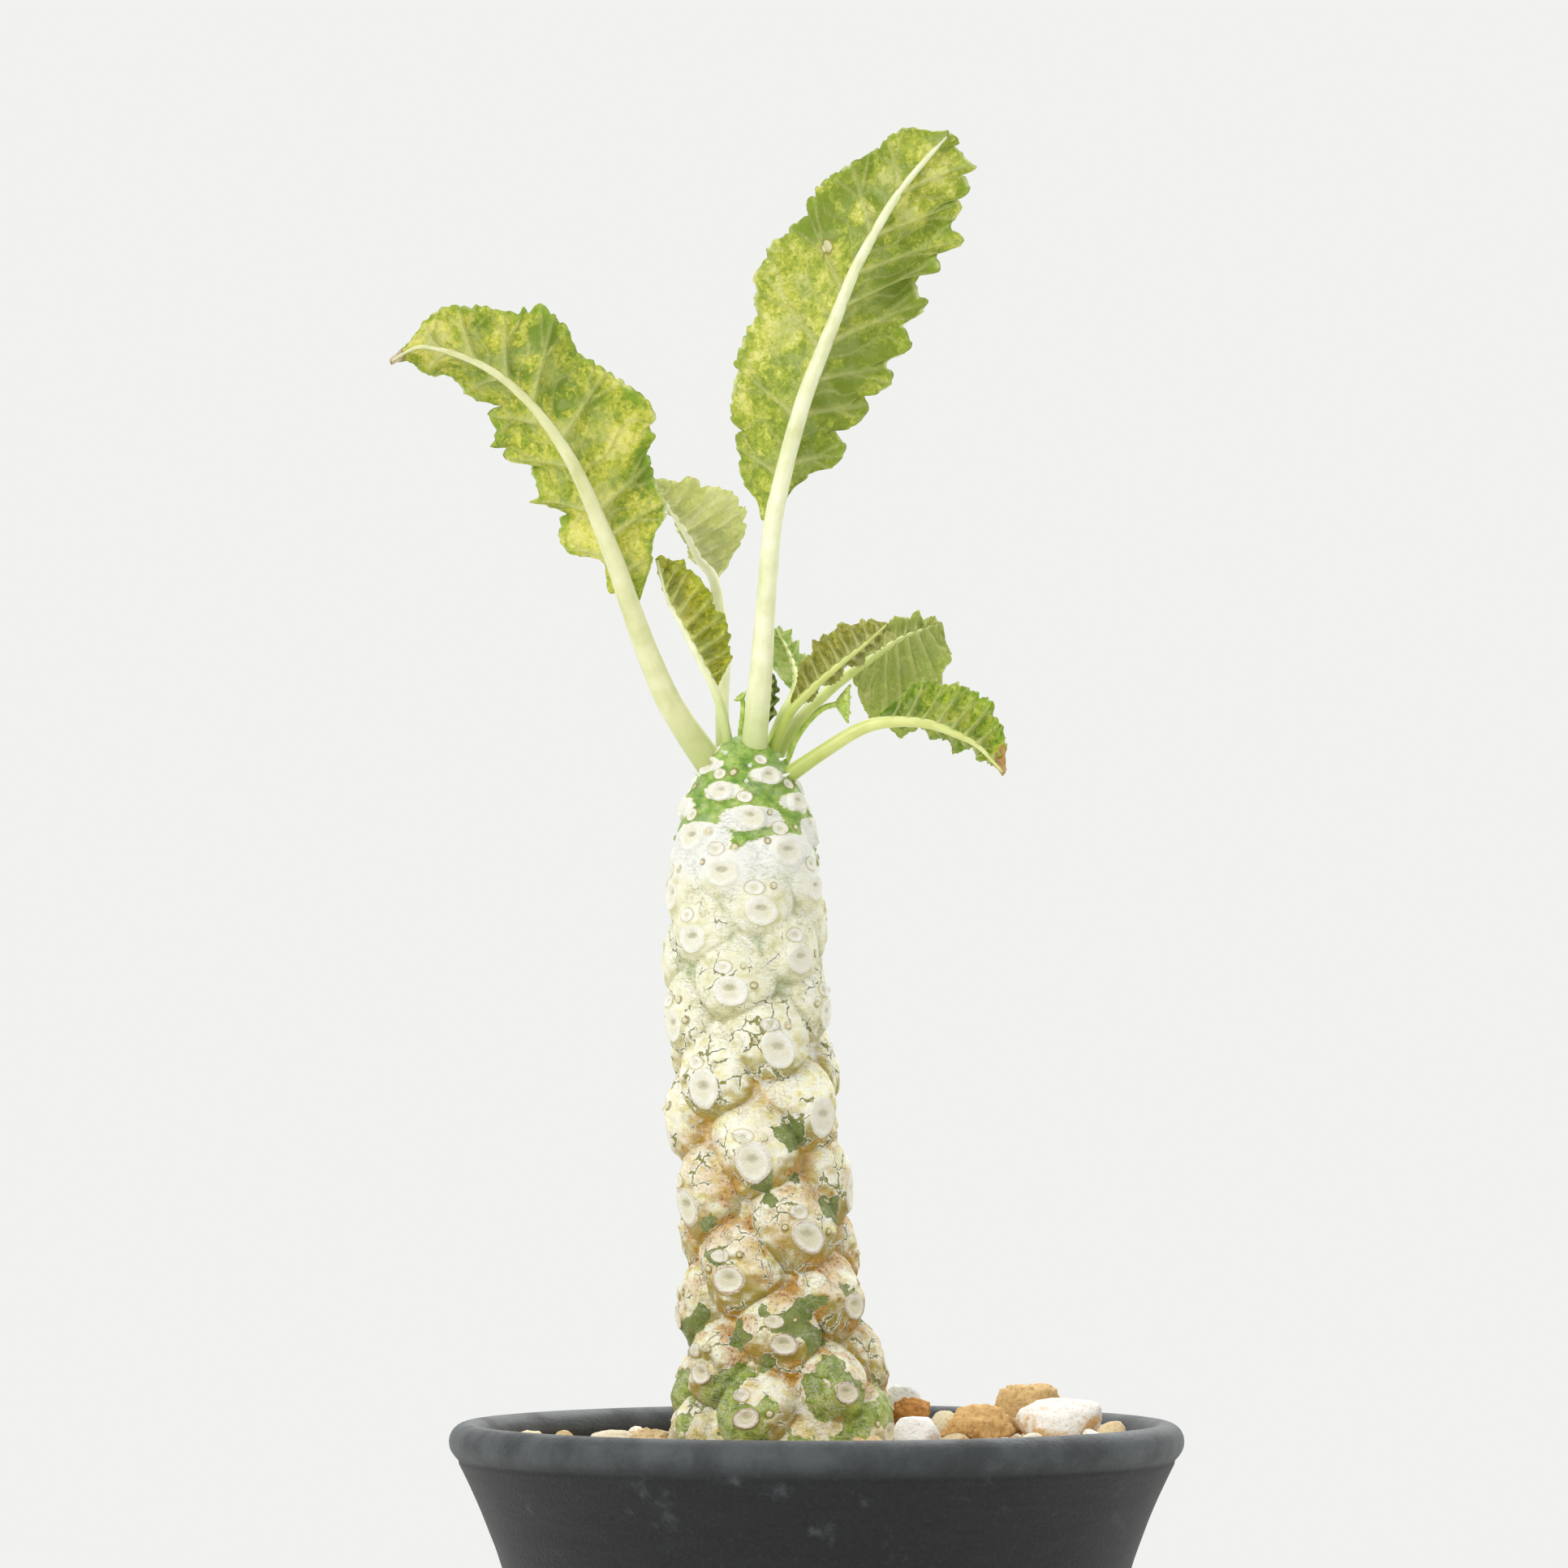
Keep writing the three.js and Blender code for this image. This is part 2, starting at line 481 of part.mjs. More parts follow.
// The places that the stem's skin is drawn through, each a {turn, z, radius}.
function stemPlaces() {
  const places = [];
  const taken = [];
  const add = (turn, z, radius) => places.push({ turn, z, radius });
  const ringRound = (turn, z, size, count, radiusAt) => {
    for (let k = 0; k < count; k++) {
      const angle = (2 * Math.PI * k) / count;
      const ringTurn = turn + (size * Math.sin(angle)) / stemRadius(turn, z);
      const ringZ = z + size * Math.cos(angle);
      add(ringTurn, ringZ, radiusAt(ringTurn, ringZ));
    }
    taken.push({ turn, z, size });
  };
  const isTaken = (turn, z, room) =>
    taken.some((t) => Math.hypot(wrapped(turn - t.turn) * stemRadius(t.turn, t.z), z - t.z) < t.size + room);

  for (const { turn, z, pitch } of scars) {
    const size = SCAR.radius * Math.min(1, pitch / SCAR.crowding);
    const crown = stemRadius(turn, z) - through(STEM_RADIUS, z);
    const rimAt = (t, h) => (stemRadius(t, h) + through(STEM_RADIUS, h) + crown) / 2 + SCAR.rim;
    add(turn, z, stemRadius(turn, z) + SCAR.dish);
    ringRound(turn, z, size, SCAR.sides, rimAt);
    ringRound(turn, z, size + SCAR.skirt, SCAR.sides, stemRadius);
  }
  for (const scar of scars) {
    const turn = scar.turn + FLOWER_SCAR.across / stemRadius(scar.turn, scar.z);
    const z = scar.z + FLOWER_SCAR.up * Math.min(1, scar.pitch / SCAR.crowding);
    if (scar.z > FLOWER_SCAR.highest || isTaken(turn, z, FLOWER_SCAR.room)) continue;
    add(turn, z, stemRadius(turn, z) + FLOWER_SCAR.height);
    ringRound(turn, z, FLOWER_SCAR.radius, FLOWER_SCAR.sides, stemRadius);
  }
  for (const [degrees, z] of SPINES) {
    const turn = degrees * DEGREE;
    if (isTaken(turn, z, SPINE.radius)) continue;
    add(turn, z, stemRadius(turn, z) + SPINE.length);
    ringRound(turn, z, SPINE.radius, SPINE.sides, stemRadius);
  }
  const random = seeded(4);
  for (const { from, to, row, spacing } of SKIN_NET) {
    for (let z = from; z < to; z += row) {
      const count = Math.max(6, Math.round((2 * Math.PI * through(STEM_RADIUS, z)) / spacing));
      for (let k = 0; k < count; k++) {
        const turn = ((k + random() / 2) * 2 * Math.PI) / count + z;
        const placeZ = z + (row / 2) * random();
        if (!isTaken(turn, placeZ, SKIN_ROOM)) add(turn, placeZ, stemRadius(turn, placeZ));
      }
    }
  }
  return places;
}

// The stem's skin is a net of triangles over those places. The net comes from the hull of the same
// places on a ball, where the stem's height is stretched so that shapes keep their proportions.
function stem(grow) {
  const step = 0.1;
  const stretched = [0];
  for (let z = STEM_FOOT + step; z <= STEM_TIP; z += step) {
    const [below, here] = [through(STEM_RADIUS, z - step), through(STEM_RADIUS, z)];
    stretched.push(stretched.at(-1) + Math.hypot(step, here - below) / Math.max((below + here) / 2, 0.4));
  }
  const latitude = (z) => {
    const row = Math.min((z - STEM_FOOT) / step, stretched.length - 1);
    const low = Math.floor(row);
    const high = Math.min(low + 1, stretched.length - 1);
    const along = stretched[low] + (row - low) * (stretched[high] - stretched[low]);
    return 2 * Math.atan(Math.exp(along - stretched.at(-1) / 2)) - Math.PI / 2;
  };
  const onBall = [];
  const points = [];
  const keep = (ball, x, y, z) => {
    onBall.push(ball);
    points.push(new THREE.Vector3(through(STEM_AXIS_X, z) + x, y, z));
  };
  for (const { turn, z, radius } of stemPlaces()) {
    if (z >= STEM_TIP || z < STEM_FOOT) continue;
    const level = Math.cos(latitude(z));
    const ball = new THREE.Vector3(level * Math.sin(turn), -level * Math.cos(turn), Math.sin(latitude(z)));
    keep(ball, (radius + grow) * Math.sin(turn), -(radius + grow) * Math.cos(turn), z);
  }
  keep(new THREE.Vector3(0, 0, -1), 0, 0, STEM_FOOT - 1 - grow);
  keep(new THREE.Vector3(0, 0, 1), 0, 0, STEM_TIP + grow);
  const indexOf = new Map(onBall.map((ball, i) => [ball, i]));
  const triangles = [];
  for (const face of new ConvexHull().setFromPoints(onBall).faces) {
    const corners = [];
    let edge = face.edge;
    do {
      corners.push(indexOf.get(edge.head().point));
      edge = edge.next;
    } while (edge !== face.edge);
    for (let k = 1; k + 1 < corners.length; k++) triangles.push(corners[0], corners[k], corners[k + 1]);
  }
  return solidOf(geometryOf(points, triangles));
}

// Leaves
// A tooth leans towards the leaf's tip: it rises slowly and drops back at the next notch.
function tooth(u, count) {
  const along = (u * count) % 1;
  if (along < TOOTH_RISE) return Math.sin(((along / TOOTH_RISE) * Math.PI) / 2);
  return Math.cos((((along - TOOTH_RISE) / (1 - TOOTH_RISE)) * Math.PI) / 2);
}

function halfBlade(spec, rib, half, side) {
  const edge = curveOf(half.edge.map(([x, z]) => [x, 0, z]));
  const start = spec.bladeFrom / (spec.rib.length - 1);
  const [toothCount, toothDepth] = half.teeth;
  const across = spec.steps > 30 ? BLADE_ACROSS : YOUNG_ACROSS;
  const grid = [];
  for (let i = 0; i <= spec.steps; i++) {
    const u = BLADE_ENDS[0] + ((BLADE_ENDS[1] - BLADE_ENDS[0]) * i) / spec.steps;
    const t = start + (1 - start) * u;
    const root = rib.getPoint(t);
    const margin = edge.getPoint(u).setY(root.y + half.back * Math.sin(Math.PI * u) ** 0.6);
    const reach = margin.clone().sub(root);
    const outwards = reach.clone().normalize();
    const normal = rib.getTangent(t).cross(outwards).multiplyScalar(side).normalize();
    const taper = Math.min(1, 6 * u, 8 * (1 - u));
    const cell = (v) => {
      const wave = spec.ripple * v * v * Math.sin(2 * Math.PI * BLADE_WAVES * u + side);
      const arch = BLADE_ARCH * 4 * v * (1 - v);
      const cut = toothDepth * (tooth(u, toothCount) - 0.6) * Math.max(0, (v - 0.7) / 0.3);
      const point = root.clone().addScaledVector(reach, v).addScaledVector(outwards, cut * taper);
      return { point: point.addScaledVector(normal, (wave + arch) * taper), normal };
    };
    grid.push(across.map(cell));
  }
  return solidOf(sheet(grid, BLADE_THICKNESS));
}

function leaf(spec, stemGrown) {
  const rib = curveOf(spec.rib);
  const start = spec.bladeFrom / (spec.rib.length - 1);
  const [foot, neck, tip] = spec.stalk;
  const thickness = (t) => {
    const heel = STALK_HEEL * foot * Math.max(0, 1 - t / 0.12) ** 2;
    if (t < start) return foot + (neck - foot) * (t / start) + heel;
    return neck + (tip - neck) * ((t - start) / (1 - start)) + heel;
  };
  const [steps, sides] = spec.steps > 30 ? [20, 8] : [10, 6];
  return rod(rib, BLADE_ENDS[1], steps, sides, thickness)
    .add(halfBlade(spec, rib, spec.left, -1))
    .add(halfBlade(spec, rib, spec.right, 1))
    .subtract(stemGrown);
}

// Flower heads
function flower(spec, stemGrown) {
  const stalk = curveOf(spec.stalk);
  const r = spec.radius;
  const profile = DISC_PROFILE.map(([out, along]) => new THREE.Vector2(out * r, along * r));
  const facing = new THREE.Vector3(...spec.facing).normalize();
  const turn = new THREE.Quaternion().setFromUnitVectors(new THREE.Vector3(0, 1, 0), facing);
  const centre = stalk.getPoint(1).addScaledVector(facing, 0.35 * r);
  const seat = (geometry) => solidOf(geometry.applyQuaternion(turn).translate(...centre.toArray()));
  let head = seat(new THREE.LatheGeometry(profile, 12));
  for (let k = 0; k < ARM.count; k++) {
    const arm = new THREE.ConeGeometry(ARM.radius * r, ARM.length * r, 4);
    arm.translate(0, 0.12 * r, 0).rotateZ(-ARM.splay).translate(0.88 * r, 0.12 * r, 0);
    head = head.add(seat(arm.rotateY((2 * Math.PI * (k + 0.5)) / ARM.count)));
  }
  return rod(stalk, 1, 8, 6, () => spec.stalkRadius).add(head).subtract(stemGrown);
}

// Stones: balls worn flat by facets that a seed picks.
function stone(spec, grow) {
  const random = seeded(spec.seed);
  const facets = [1, -1].map((z) => ({ normal: new THREE.Vector3(0, 0, z), distance: 0.92 }));
  for (let k = 0; k < FACET_COUNT; k++) {
    const polar = Math.acos(2 * random() - 1);
    const normal = new THREE.Vector3().setFromSphericalCoords(1, polar, 2 * Math.PI * random());
    facets.push({ normal, distance: 0.72 + 0.25 * random() });
  }
  const ball = new THREE.IcosahedronGeometry(1, 1);
  const place = ball.attributes.position;
  const v = new THREE.Vector3();
  for (let i = 0; i < place.count; i++) {
    v.fromBufferAttribute(place, i).normalize();
    let sum = ROUNDNESS ** spec.sharp;
    for (const { normal, distance } of facets) sum += (Math.max(0, normal.dot(v)) / distance) ** spec.sharp;
    const radius = sum ** (-1 / spec.sharp);
    const out = [0, 1, 2].map((k) => spec.at[k] + v.getComponent(k) * (radius * spec.half[k] + grow));
    place.setXYZ(i, ...out);
  }
  return solidOf(ball);
}

// Grit: fills the pot, with grains raised on its top.
function gritTop(x, y) {
  const random = (i, j, draw) => seeded((i + 50) * 7919 + (j + 50) * 104729 + draw)();
  const column = Math.floor(x / GRAIN.spacing);
  const row = Math.floor(y / GRAIN.spacing);
  let relief = 0;
  for (let i = column - 1; i <= column + 1; i++) {
    for (let j = row - 1; j <= row + 1; j++) {
      const grainX = (i + 0.2 + 0.6 * random(i, j, 1)) * GRAIN.spacing;
      const grainY = (j + 0.2 + 0.6 * random(i, j, 2)) * GRAIN.spacing;
      const reach = Math.hypot(x - grainX, y - grainY) / GRAIN.radius;
      relief = Math.max(relief, (0.55 + 0.45 * random(i, j, 3)) * Math.sqrt(Math.max(0, 1 - reach ** 2)));
    }
  }
  let level = GRIT_LEVEL + GRIT_SLOPE * x;
  for (const heap of HEAPS) {
    level += heap.height * Math.exp(-(((x - heap.x) ** 2 + (y - heap.y) ** 2) / heap.reach ** 2));
  }
  return level + GRAIN.height * (relief - 0.5);
}

function grit(cutters) {
  const ring = (radius, heightAt) => {
    const points = [];
    for (let s = 0; s < POT_SECTORS; s++) {
      const turn = (2 * Math.PI * s) / POT_SECTORS;
      const [x, y] = [radius * Math.sin(turn), -radius * Math.cos(turn)];
      points.push(new THREE.Vector3(x, y, heightAt(x, y)));
    }
    return points;
  };
  const clearance = GAP + 0.1;
  const wall = [POT_FLOOR + GAP, ...POT_WALL_HEIGHTS].map((z) => ring(potInner(z) - clearance, () => z));
  const outer = potInner(POT_NECK - 2) - clearance;
  const top = [ring(outer, (x, y) => Math.min(gritTop(x, y), POT_NECK))];
  for (let r = 1; r < GRIT_RINGS; r++) top.push(ring(outer * (1 - r / GRIT_RINGS), gritTop));
  let solid = solidOf(loft([...wall, ...top]));
  for (const cutter of cutters) solid = solid.subtract(cutter);
  return solid;
}

const plant = new THREE.Group();
plant.add(nodeOf("pot", pot(), 0x2b2d2f, 0.75));
plant.add(nodeOf("stem", stem(0), 0xe9e6cf, 0.7));
const stemGrown = stem(GAP);
for (const [name, spec] of Object.entries(LEAVES)) {
  plant.add(nodeOf(name, leaf(spec, stemGrown), spec.colour, 0.5));
}
for (const [name, spec] of Object.entries(FLOWERS)) {
  plant.add(nodeOf(name, flower(spec, stemGrown), 0x8fae3c, 0.5));
}
const cutters = [stemGrown];
for (const [name, spec] of Object.entries(STONES)) {
  plant.add(nodeOf(name, stone(spec, 0), spec.colour, 0.85));
  cutters.push(stone(spec, GAP));
}
plant.add(nodeOf("grit", grit(cutters), 0xb89a68, 0.9));

export default plant;
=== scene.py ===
# A potted Dorstenia horwoodii: a scarred succulent column with a crown of toothed, variegated leaves,
# in grit, in a flared black pot. Sizes are in millimetres, +Z is up, and the front faces -Y.
import itertools
import math

import bmesh
import bpy
import numpy as np
from mathutils import Matrix, Quaternion, Vector


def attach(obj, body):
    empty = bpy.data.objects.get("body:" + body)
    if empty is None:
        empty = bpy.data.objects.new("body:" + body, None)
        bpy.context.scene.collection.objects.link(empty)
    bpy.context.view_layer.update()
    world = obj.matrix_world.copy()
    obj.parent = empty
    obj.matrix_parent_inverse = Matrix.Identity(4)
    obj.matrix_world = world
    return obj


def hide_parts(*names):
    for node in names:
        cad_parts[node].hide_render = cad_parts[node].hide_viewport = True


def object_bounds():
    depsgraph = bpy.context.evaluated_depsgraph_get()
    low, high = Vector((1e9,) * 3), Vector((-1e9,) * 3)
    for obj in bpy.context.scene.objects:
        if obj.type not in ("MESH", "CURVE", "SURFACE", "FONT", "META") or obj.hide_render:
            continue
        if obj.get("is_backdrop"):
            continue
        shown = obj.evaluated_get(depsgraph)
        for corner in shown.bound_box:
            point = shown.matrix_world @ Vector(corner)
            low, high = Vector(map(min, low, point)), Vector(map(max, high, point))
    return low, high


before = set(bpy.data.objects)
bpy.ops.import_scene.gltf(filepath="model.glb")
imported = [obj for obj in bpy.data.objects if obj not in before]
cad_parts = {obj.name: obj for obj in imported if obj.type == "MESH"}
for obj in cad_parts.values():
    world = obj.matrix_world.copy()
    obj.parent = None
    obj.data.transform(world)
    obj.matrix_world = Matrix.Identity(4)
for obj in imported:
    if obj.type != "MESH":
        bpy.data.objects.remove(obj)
cad_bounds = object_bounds()

# Pot
# A thrown clay pot, trumpet-flared under a rolled rim, smoke-fired in a closed kiln so that the bare
# clay turns charcoal black through and through. It stands on a flat foot with five drain holes.
MM = 0.001
NEAR_AXIS = 0.01
POT_SECTORS = 192
POT_HEIGHTS = np.concatenate([np.linspace(1, 56, 24), np.linspace(58, 72, 18), np.linspace(72.4, 74, 9)])
POT_FOOT = [(NEAR_AXIS, 0), (28.8, 0), (29.5, 0.12), (30, 0.5)]
FOOT_RADIUS = 30
WALL_SLOPE = 0.08
FLARE = 8.6
FLARE_REACH = 17.3
LIP_HEIGHT = 74
POT_WALL = 3.3
POT_FLOOR = 3.5
FLOOR_CURVE = 2
RIM_RADIUS = 42.9
RIM_HEIGHT = 75.7
RIM_HALF = 2.3
RIM_TURNS = np.radians(np.linspace(-42, 185, 22))
GROOVE_HEIGHT = 73.5
GROOVE_DEPTH = 0.2
GROOVE_HALF = 0.35
RIDGE_DEPTH = 0.05
RIDGE_SPACING = 1.6
ROUND_THE_POT = [0.05, 0.05, 1]  # stretches the ridges along the wall
WAVE_DEPTH = 0.1
WAVE_SIZE = 9
SMOOTH_FOOT = 6
DRAIN_CIRCLE = 15
DRAIN_RADIUS = 2.4
DRAIN_COUNT = 5


def pot_outer(z):
    """The outside's radius at a height: a slightly coned wall that flares towards its lip."""
    return FOOT_RADIUS + WALL_SLOPE * z + FLARE * np.exp((z - LIP_HEIGHT) / FLARE_REACH)


# Large primes and a factor that scramble a cell's place into an even random number.
CELL_PRIMES = np.array([73856093, 19349663, 83492791])
SCRAMBLE = 1274126177
SEED_STEP = 31.7


def noise(points, size, seed=0):
    """Smooth random lumps of about the given size over points, from -1 to 1."""
    cell = np.asarray(points, float) / size + SEED_STEP * (seed + 1)
    base = np.floor(cell).astype(np.int64)
    part = cell - base
    part = part * part * (3 - 2 * part)
    total = np.zeros(cell.shape[:-1])
    for corner in itertools.product((0, 1), repeat=cell.shape[-1]):
        share = np.prod(np.where(corner, part, 1 - part), axis=-1)
        key = (base + corner) @ CELL_PRIMES[: cell.shape[-1]]
        key = ((key ^ (key >> 13)) * SCRAMBLE) & 0xFFFFFFFF
        total += share * ((key ^ (key >> 16)) & 0xFFFF) / 0xFFFF
    return 2 * total - 1


def grid_faces(rows, columns, closed=False):
    """Four-sided faces over a grid of points, whose columns may close into a ring."""
    i = np.arange(rows - 1)[:, None]
    j = np.arange(columns if closed else columns - 1)[None, :]
    right = (j + 1) % columns
    corners = [i * columns + j, i * columns + right, (i + 1) * columns + right, (i + 1) * columns + j]
    return np.stack(np.broadcast_arrays(*corners), axis=-1).reshape(-1, 4).tolist()


def mesh_piece(name, points, faces, material, fields=None):
    """A smooth-shaded piece from points in millimetres, with named values kept at the points."""
    mesh = bpy.data.meshes.new(name)
    mesh.from_pydata((np.asarray(points) * MM).tolist(), [], faces)
    for field, values in (fields or {}).items():
        values = np.asarray(values, np.float32)
        kind, part = ("FLOAT_VECTOR", "vector") if values.ndim == 2 else ("FLOAT", "value")
        mesh.attributes.new(field, kind, "POINT").data.foreach_set(part, values.ravel())
    mesh.polygons.foreach_set("use_smooth", [True] * len(mesh.polygons))
    mesh.materials.append(material)
    made = bpy.data.objects.new(name, mesh)
    bpy.context.scene.collection.objects.link(made)
    return made


def linear(code):
    """A colour written as sRGB hex, in the linear values that a shader takes."""
    parts = [int(code[i:i + 2], 16) / 255 for i in (1, 3, 5)]
    return [c / 12.92 if c <= 0.04045 else ((c + 0.055) / 1.055) ** 2.4 for c in parts] + [1]


def add(material, kind, links=None, **settings):
    """Adds a node with its settings, and each input as a value or as the node that feeds it."""
    node = material.node_tree.nodes.new("ShaderNode" + kind)
    for setting, value in settings.items():
        setattr(node, setting, value)
    shown = [socket for socket in node.inputs if socket.enabled]
    for key, value in (links or {}).items():
        target = shown[key] if isinstance(key, int) else next(s for s in shown if s.name == key)
        if isinstance(value, bpy.types.Node):
            value = next(socket for socket in value.outputs if socket.enabled)
        if isinstance(value, bpy.types.NodeSocket):
            material.node_tree.links.new(value, target)
        else:
            target.default_value = value
    return node


def bare_material(name):
    made = bpy.data.materials.new(name)
    made.use_nodes = True
    made.node_tree.nodes.clear()
    return made


def mottling(material, place, size, detail=2.0, roughness=0.5):
    """Soft random lumps of the given size."""
    links = {"Vector": place, "Scale": 1 / size, "Detail": detail, "Roughness": roughness}
    return add(material, "TexNoise", links)


def cells(material, place, size, **settings):
    """Random cells of the given size, measured from their middles or, if set so, from their edges."""
    return add(material, "TexVoronoi", {"Vector": place, "Scale": 1 / size}, **settings)


def drifting(material, place, pattern, distance):
    """Places moved aside by a pattern, so that what is drawn over them wanders."""
    aside = {0: pattern.outputs["Color"], 1: (distance,) * 3}
    aside = add(material, "VectorMath", aside, operation="MULTIPLY")
    return add(material, "VectorMath", {0: place, 1: aside}, operation="ADD")


def from_middle(material, pattern):
    """How far a pattern is from its middle value. Where that is small lie thin winding lines."""
    away = add(material, "Math", {0: pattern, 1: 0.5}, operation="SUBTRACT")
    return add(material, "Math", {0: away}, operation="ABSOLUTE")


def plus(material, base, *patterns):
    """A base with patterns added to it, each times its own factor."""
    for pattern, factor in patterns:
        base = add(material, "Math", {0: pattern, 1: factor, 2: base}, operation="MULTIPLY_ADD")
    return base


def ramp(material, value, *stops):
    """The colour for a value, blended between stops, each a value and its colour."""
    made = add(material, "ValToRGB", {0: value})
    marks = made.color_ramp.elements
    marks.remove(marks[0])
    for at, colour in stops:
        marks.new(at).color = linear(colour)
    marks.remove(marks[-1])
    return made


def bumps(material, heights, strength, depth):
    """A normal that follows heights."""
    return add(material, "Bump", {"Height": heights, "Strength": strength, "Distance": depth})


def finished(material, looks):
    """Closes a material with one surface of the given looks."""
    surface = add(material, "BsdfPrincipled", looks)
    add(material, "OutputMaterial", {"Surface": surface})
    return material


def where_all(material, *measures):
    """Where several measures hold at once. Each is a share from 0 to 1, or a value that goes smoothly
    from none at one number to all at another, and may be kept between a least and a most share."""
    share = 1.0
    for measure in measures:
        if isinstance(measure, tuple):
            value, none, every, least, most = (measure + (0.0, 1.0))[:5]
            ends = {0: value, 1: none, 2: every, 3: least, 4: most}
            measure = add(material, "MapRange", ends, interpolation_type="SMOOTHSTEP")
        share = add(material, "Math", {0: share, 1: measure}, operation="MULTIPLY")
    return share


def stained(material, below, stain, *measures):
    """Lays a stain over a colour where all of the measures hold."""
    share = where_all(material, *measures)
    stain = linear(stain) if isinstance(stain, str) else stain
    return add(material, "Mix", {"Factor": share, "A": below, "B": stain}, data_type="RGBA")


# Smoke-fired clay, scraped and lightly rubbed: dull and dark, with a fine tooth, faint throwing lines
# 1.5 mm apart and pale dusty scuffs. A soft blue-grey sheen is painted into the rim's colour in patches
# of about 7 mm, where the rim is also less rough.
def smoke_fired_clay():
    clay = bare_material("smoke_fired_clay")
    place = add(clay, "TexCoord").outputs["Object"]
    height = add(clay, "SeparateXYZ", {0: place}).outputs["Z"]
    squashed = add(clay, "Mapping", {"Vector": place, "Scale": (1, 1, 6)})
    lines = mottling(clay, squashed, 9 * MM, 5.0)
    tooth = mottling(clay, place, 0.55 * MM, 3.0, 0.7)
    dust = mottling(clay, place, 5 * MM, 6.0, 0.65)
    body = ramp(clay, lines, (0.3, "#0e0f0f"), (0.55, "#131515"), (0.75, "#1c1e1f"))
    grain = ramp(clay, tooth, (0.42, "#0b0c0d"), (0.55, "#161818"), (0.72, "#2e3030"))
    speckled = stained(clay, body, grain, 0.4)
    scuffed = stained(clay, speckled, "#666c72", (dust, 0.59, 0.8, 0.0, 0.36))
    patches = mottling(clay, place, 7 * MM, 5.0, 0.6)
    on_rim = where_all(clay, (height, 72.8 * MM, 76 * MM, 0.0, 0.75), (patches, 0.34, 0.66, 0.4, 1.0))
    # Painted sheen: the rim's colour lightens to blue-grey in patches.
    with_painted_rim_sheen = stained(clay, scuffed, "#4e5457", on_rim)
    rough = add(clay, "MapRange", {0: on_rim, 2: 0.5, 3: 0.8, 4: 0.58})
    bump = bumps(clay, plus(clay, lines, (tooth, 0.6)), 0.9, 0.2 * MM)
    return finished(clay, {
        "Base Color": with_painted_rim_sheen, "Roughness": rough, "Normal": bump, "Specular IOR Level": 0.42,
        "Sheen Weight": 0.08,
    })


def lathed(profile, sectors):
    """The points, row by row, and faces of a profile (radius, height) turned about the upright axis."""
    turns = np.arange(sectors) * 2 * np.pi / sectors
    radius, height = np.array(profile, float).T
    x = radius[:, None] * np.sin(turns)
    y = -radius[:, None] * np.cos(turns)
    points = np.stack([x, y, np.broadcast_to(height[:, None], x.shape)], axis=-1).reshape(-1, 3)
    return points, [face[::-1] for face in grid_faces(len(profile), sectors, closed=True)]


def pot_profile():
    """The outline (radius, height) from under the foot, up the outside, over the rim and down inside."""
    groove = GROOVE_DEPTH * np.exp(-((POT_HEIGHTS - GROOVE_HEIGHT) / GROOVE_HALF) ** 2)
    outside = zip(pot_outer(POT_HEIGHTS) - groove, POT_HEIGHTS)
    rim = [(RIM_RADIUS + RIM_HALF * math.cos(t), RIM_HEIGHT + RIM_HALF * math.sin(t)) for t in RIM_TURNS]
    inside = [(pot_outer(z) - POT_WALL, z) for z in POT_HEIGHTS[::-1] if z > POT_FLOOR + FLOOR_CURVE]
    corner = pot_outer(POT_FLOOR) - POT_WALL
    floor = [(corner - 0.6, POT_FLOOR + 0.4), (corner - FLOOR_CURVE, POT_FLOOR), (NEAR_AXIS, POT_FLOOR)]
    return [*POT_FOOT, *outside, *rim, *inside, *floor]


points, faces = lathed(pot_profile(), POT_SECTORS)
facing = points * [1, 1, 0] / np.maximum(np.hypot(points[:, 0], points[:, 1]), 1)[:, None]
ridges = RIDGE_DEPTH * noise(points * ROUND_THE_POT, RIDGE_SPACING, 3)
ridges += WAVE_DEPTH * noise(points, WAVE_SIZE, 4)
points = points + facing * np.where(points[:, 2] > SMOOTH_FOOT, ridges, 0)[:, None]
pot = mesh_piece("pot_clay", points, faces, smoke_fired_clay())
for i in range(DRAIN_COUNT):
    turn = 2 * math.pi * i / DRAIN_COUNT
    centre = (DRAIN_CIRCLE * math.cos(turn) * MM, DRAIN_CIRCLE * math.sin(turn) * MM, POT_FLOOR / 2 * MM)
    bpy.ops.mesh.primitive_cylinder_add(radius=DRAIN_RADIUS * MM, depth=4 * POT_FLOOR * MM, location=centre)
    drill = bpy.context.object
    hole = pot.modifiers.new("drain", "BOOLEAN")
    hole.operation = "DIFFERENCE"
    hole.object = drill
    bpy.context.view_layer.objects.active = pot
    bpy.ops.object.modifier_apply(modifier=hole.name)
    bpy.data.objects.remove(drill)
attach(pot, "root")
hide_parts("pot")

# Grit
# Loose bonsai grit poured round the plant: baked tan akadama, white and cream pumice and a few
# orange-brown crumbs, screened to 3-5 mm, with smaller crumbs settled between the grains.
GRIT_LEVEL = 75
GRIT_SLOPE = 0.028
HEAPS = [(14, 8, 9, 1.8), (-35, -4, 5, 1.1)]  # x, y, reach and height
GRIT_REACH = 39.6
POUR_REACH = 40.2
GRIT_WALL_HEIGHTS = [70.5, 65, 57, 44, 20, 3.9]
WALL_CLEARANCE = 0.4
BED_RINGS = 60
BED_SECTORS = 120
BED_SUNK = 1.9
BED_RELIEF = [(0.5, 1.6, 9), (0.35, 0.8, 10)]
STEM_FOOT_X = -3.9
STEM_ROOM = 13.6
STONE_ROOM = 0.6
ROW_STEP = 0.87
JITTER = 0.3
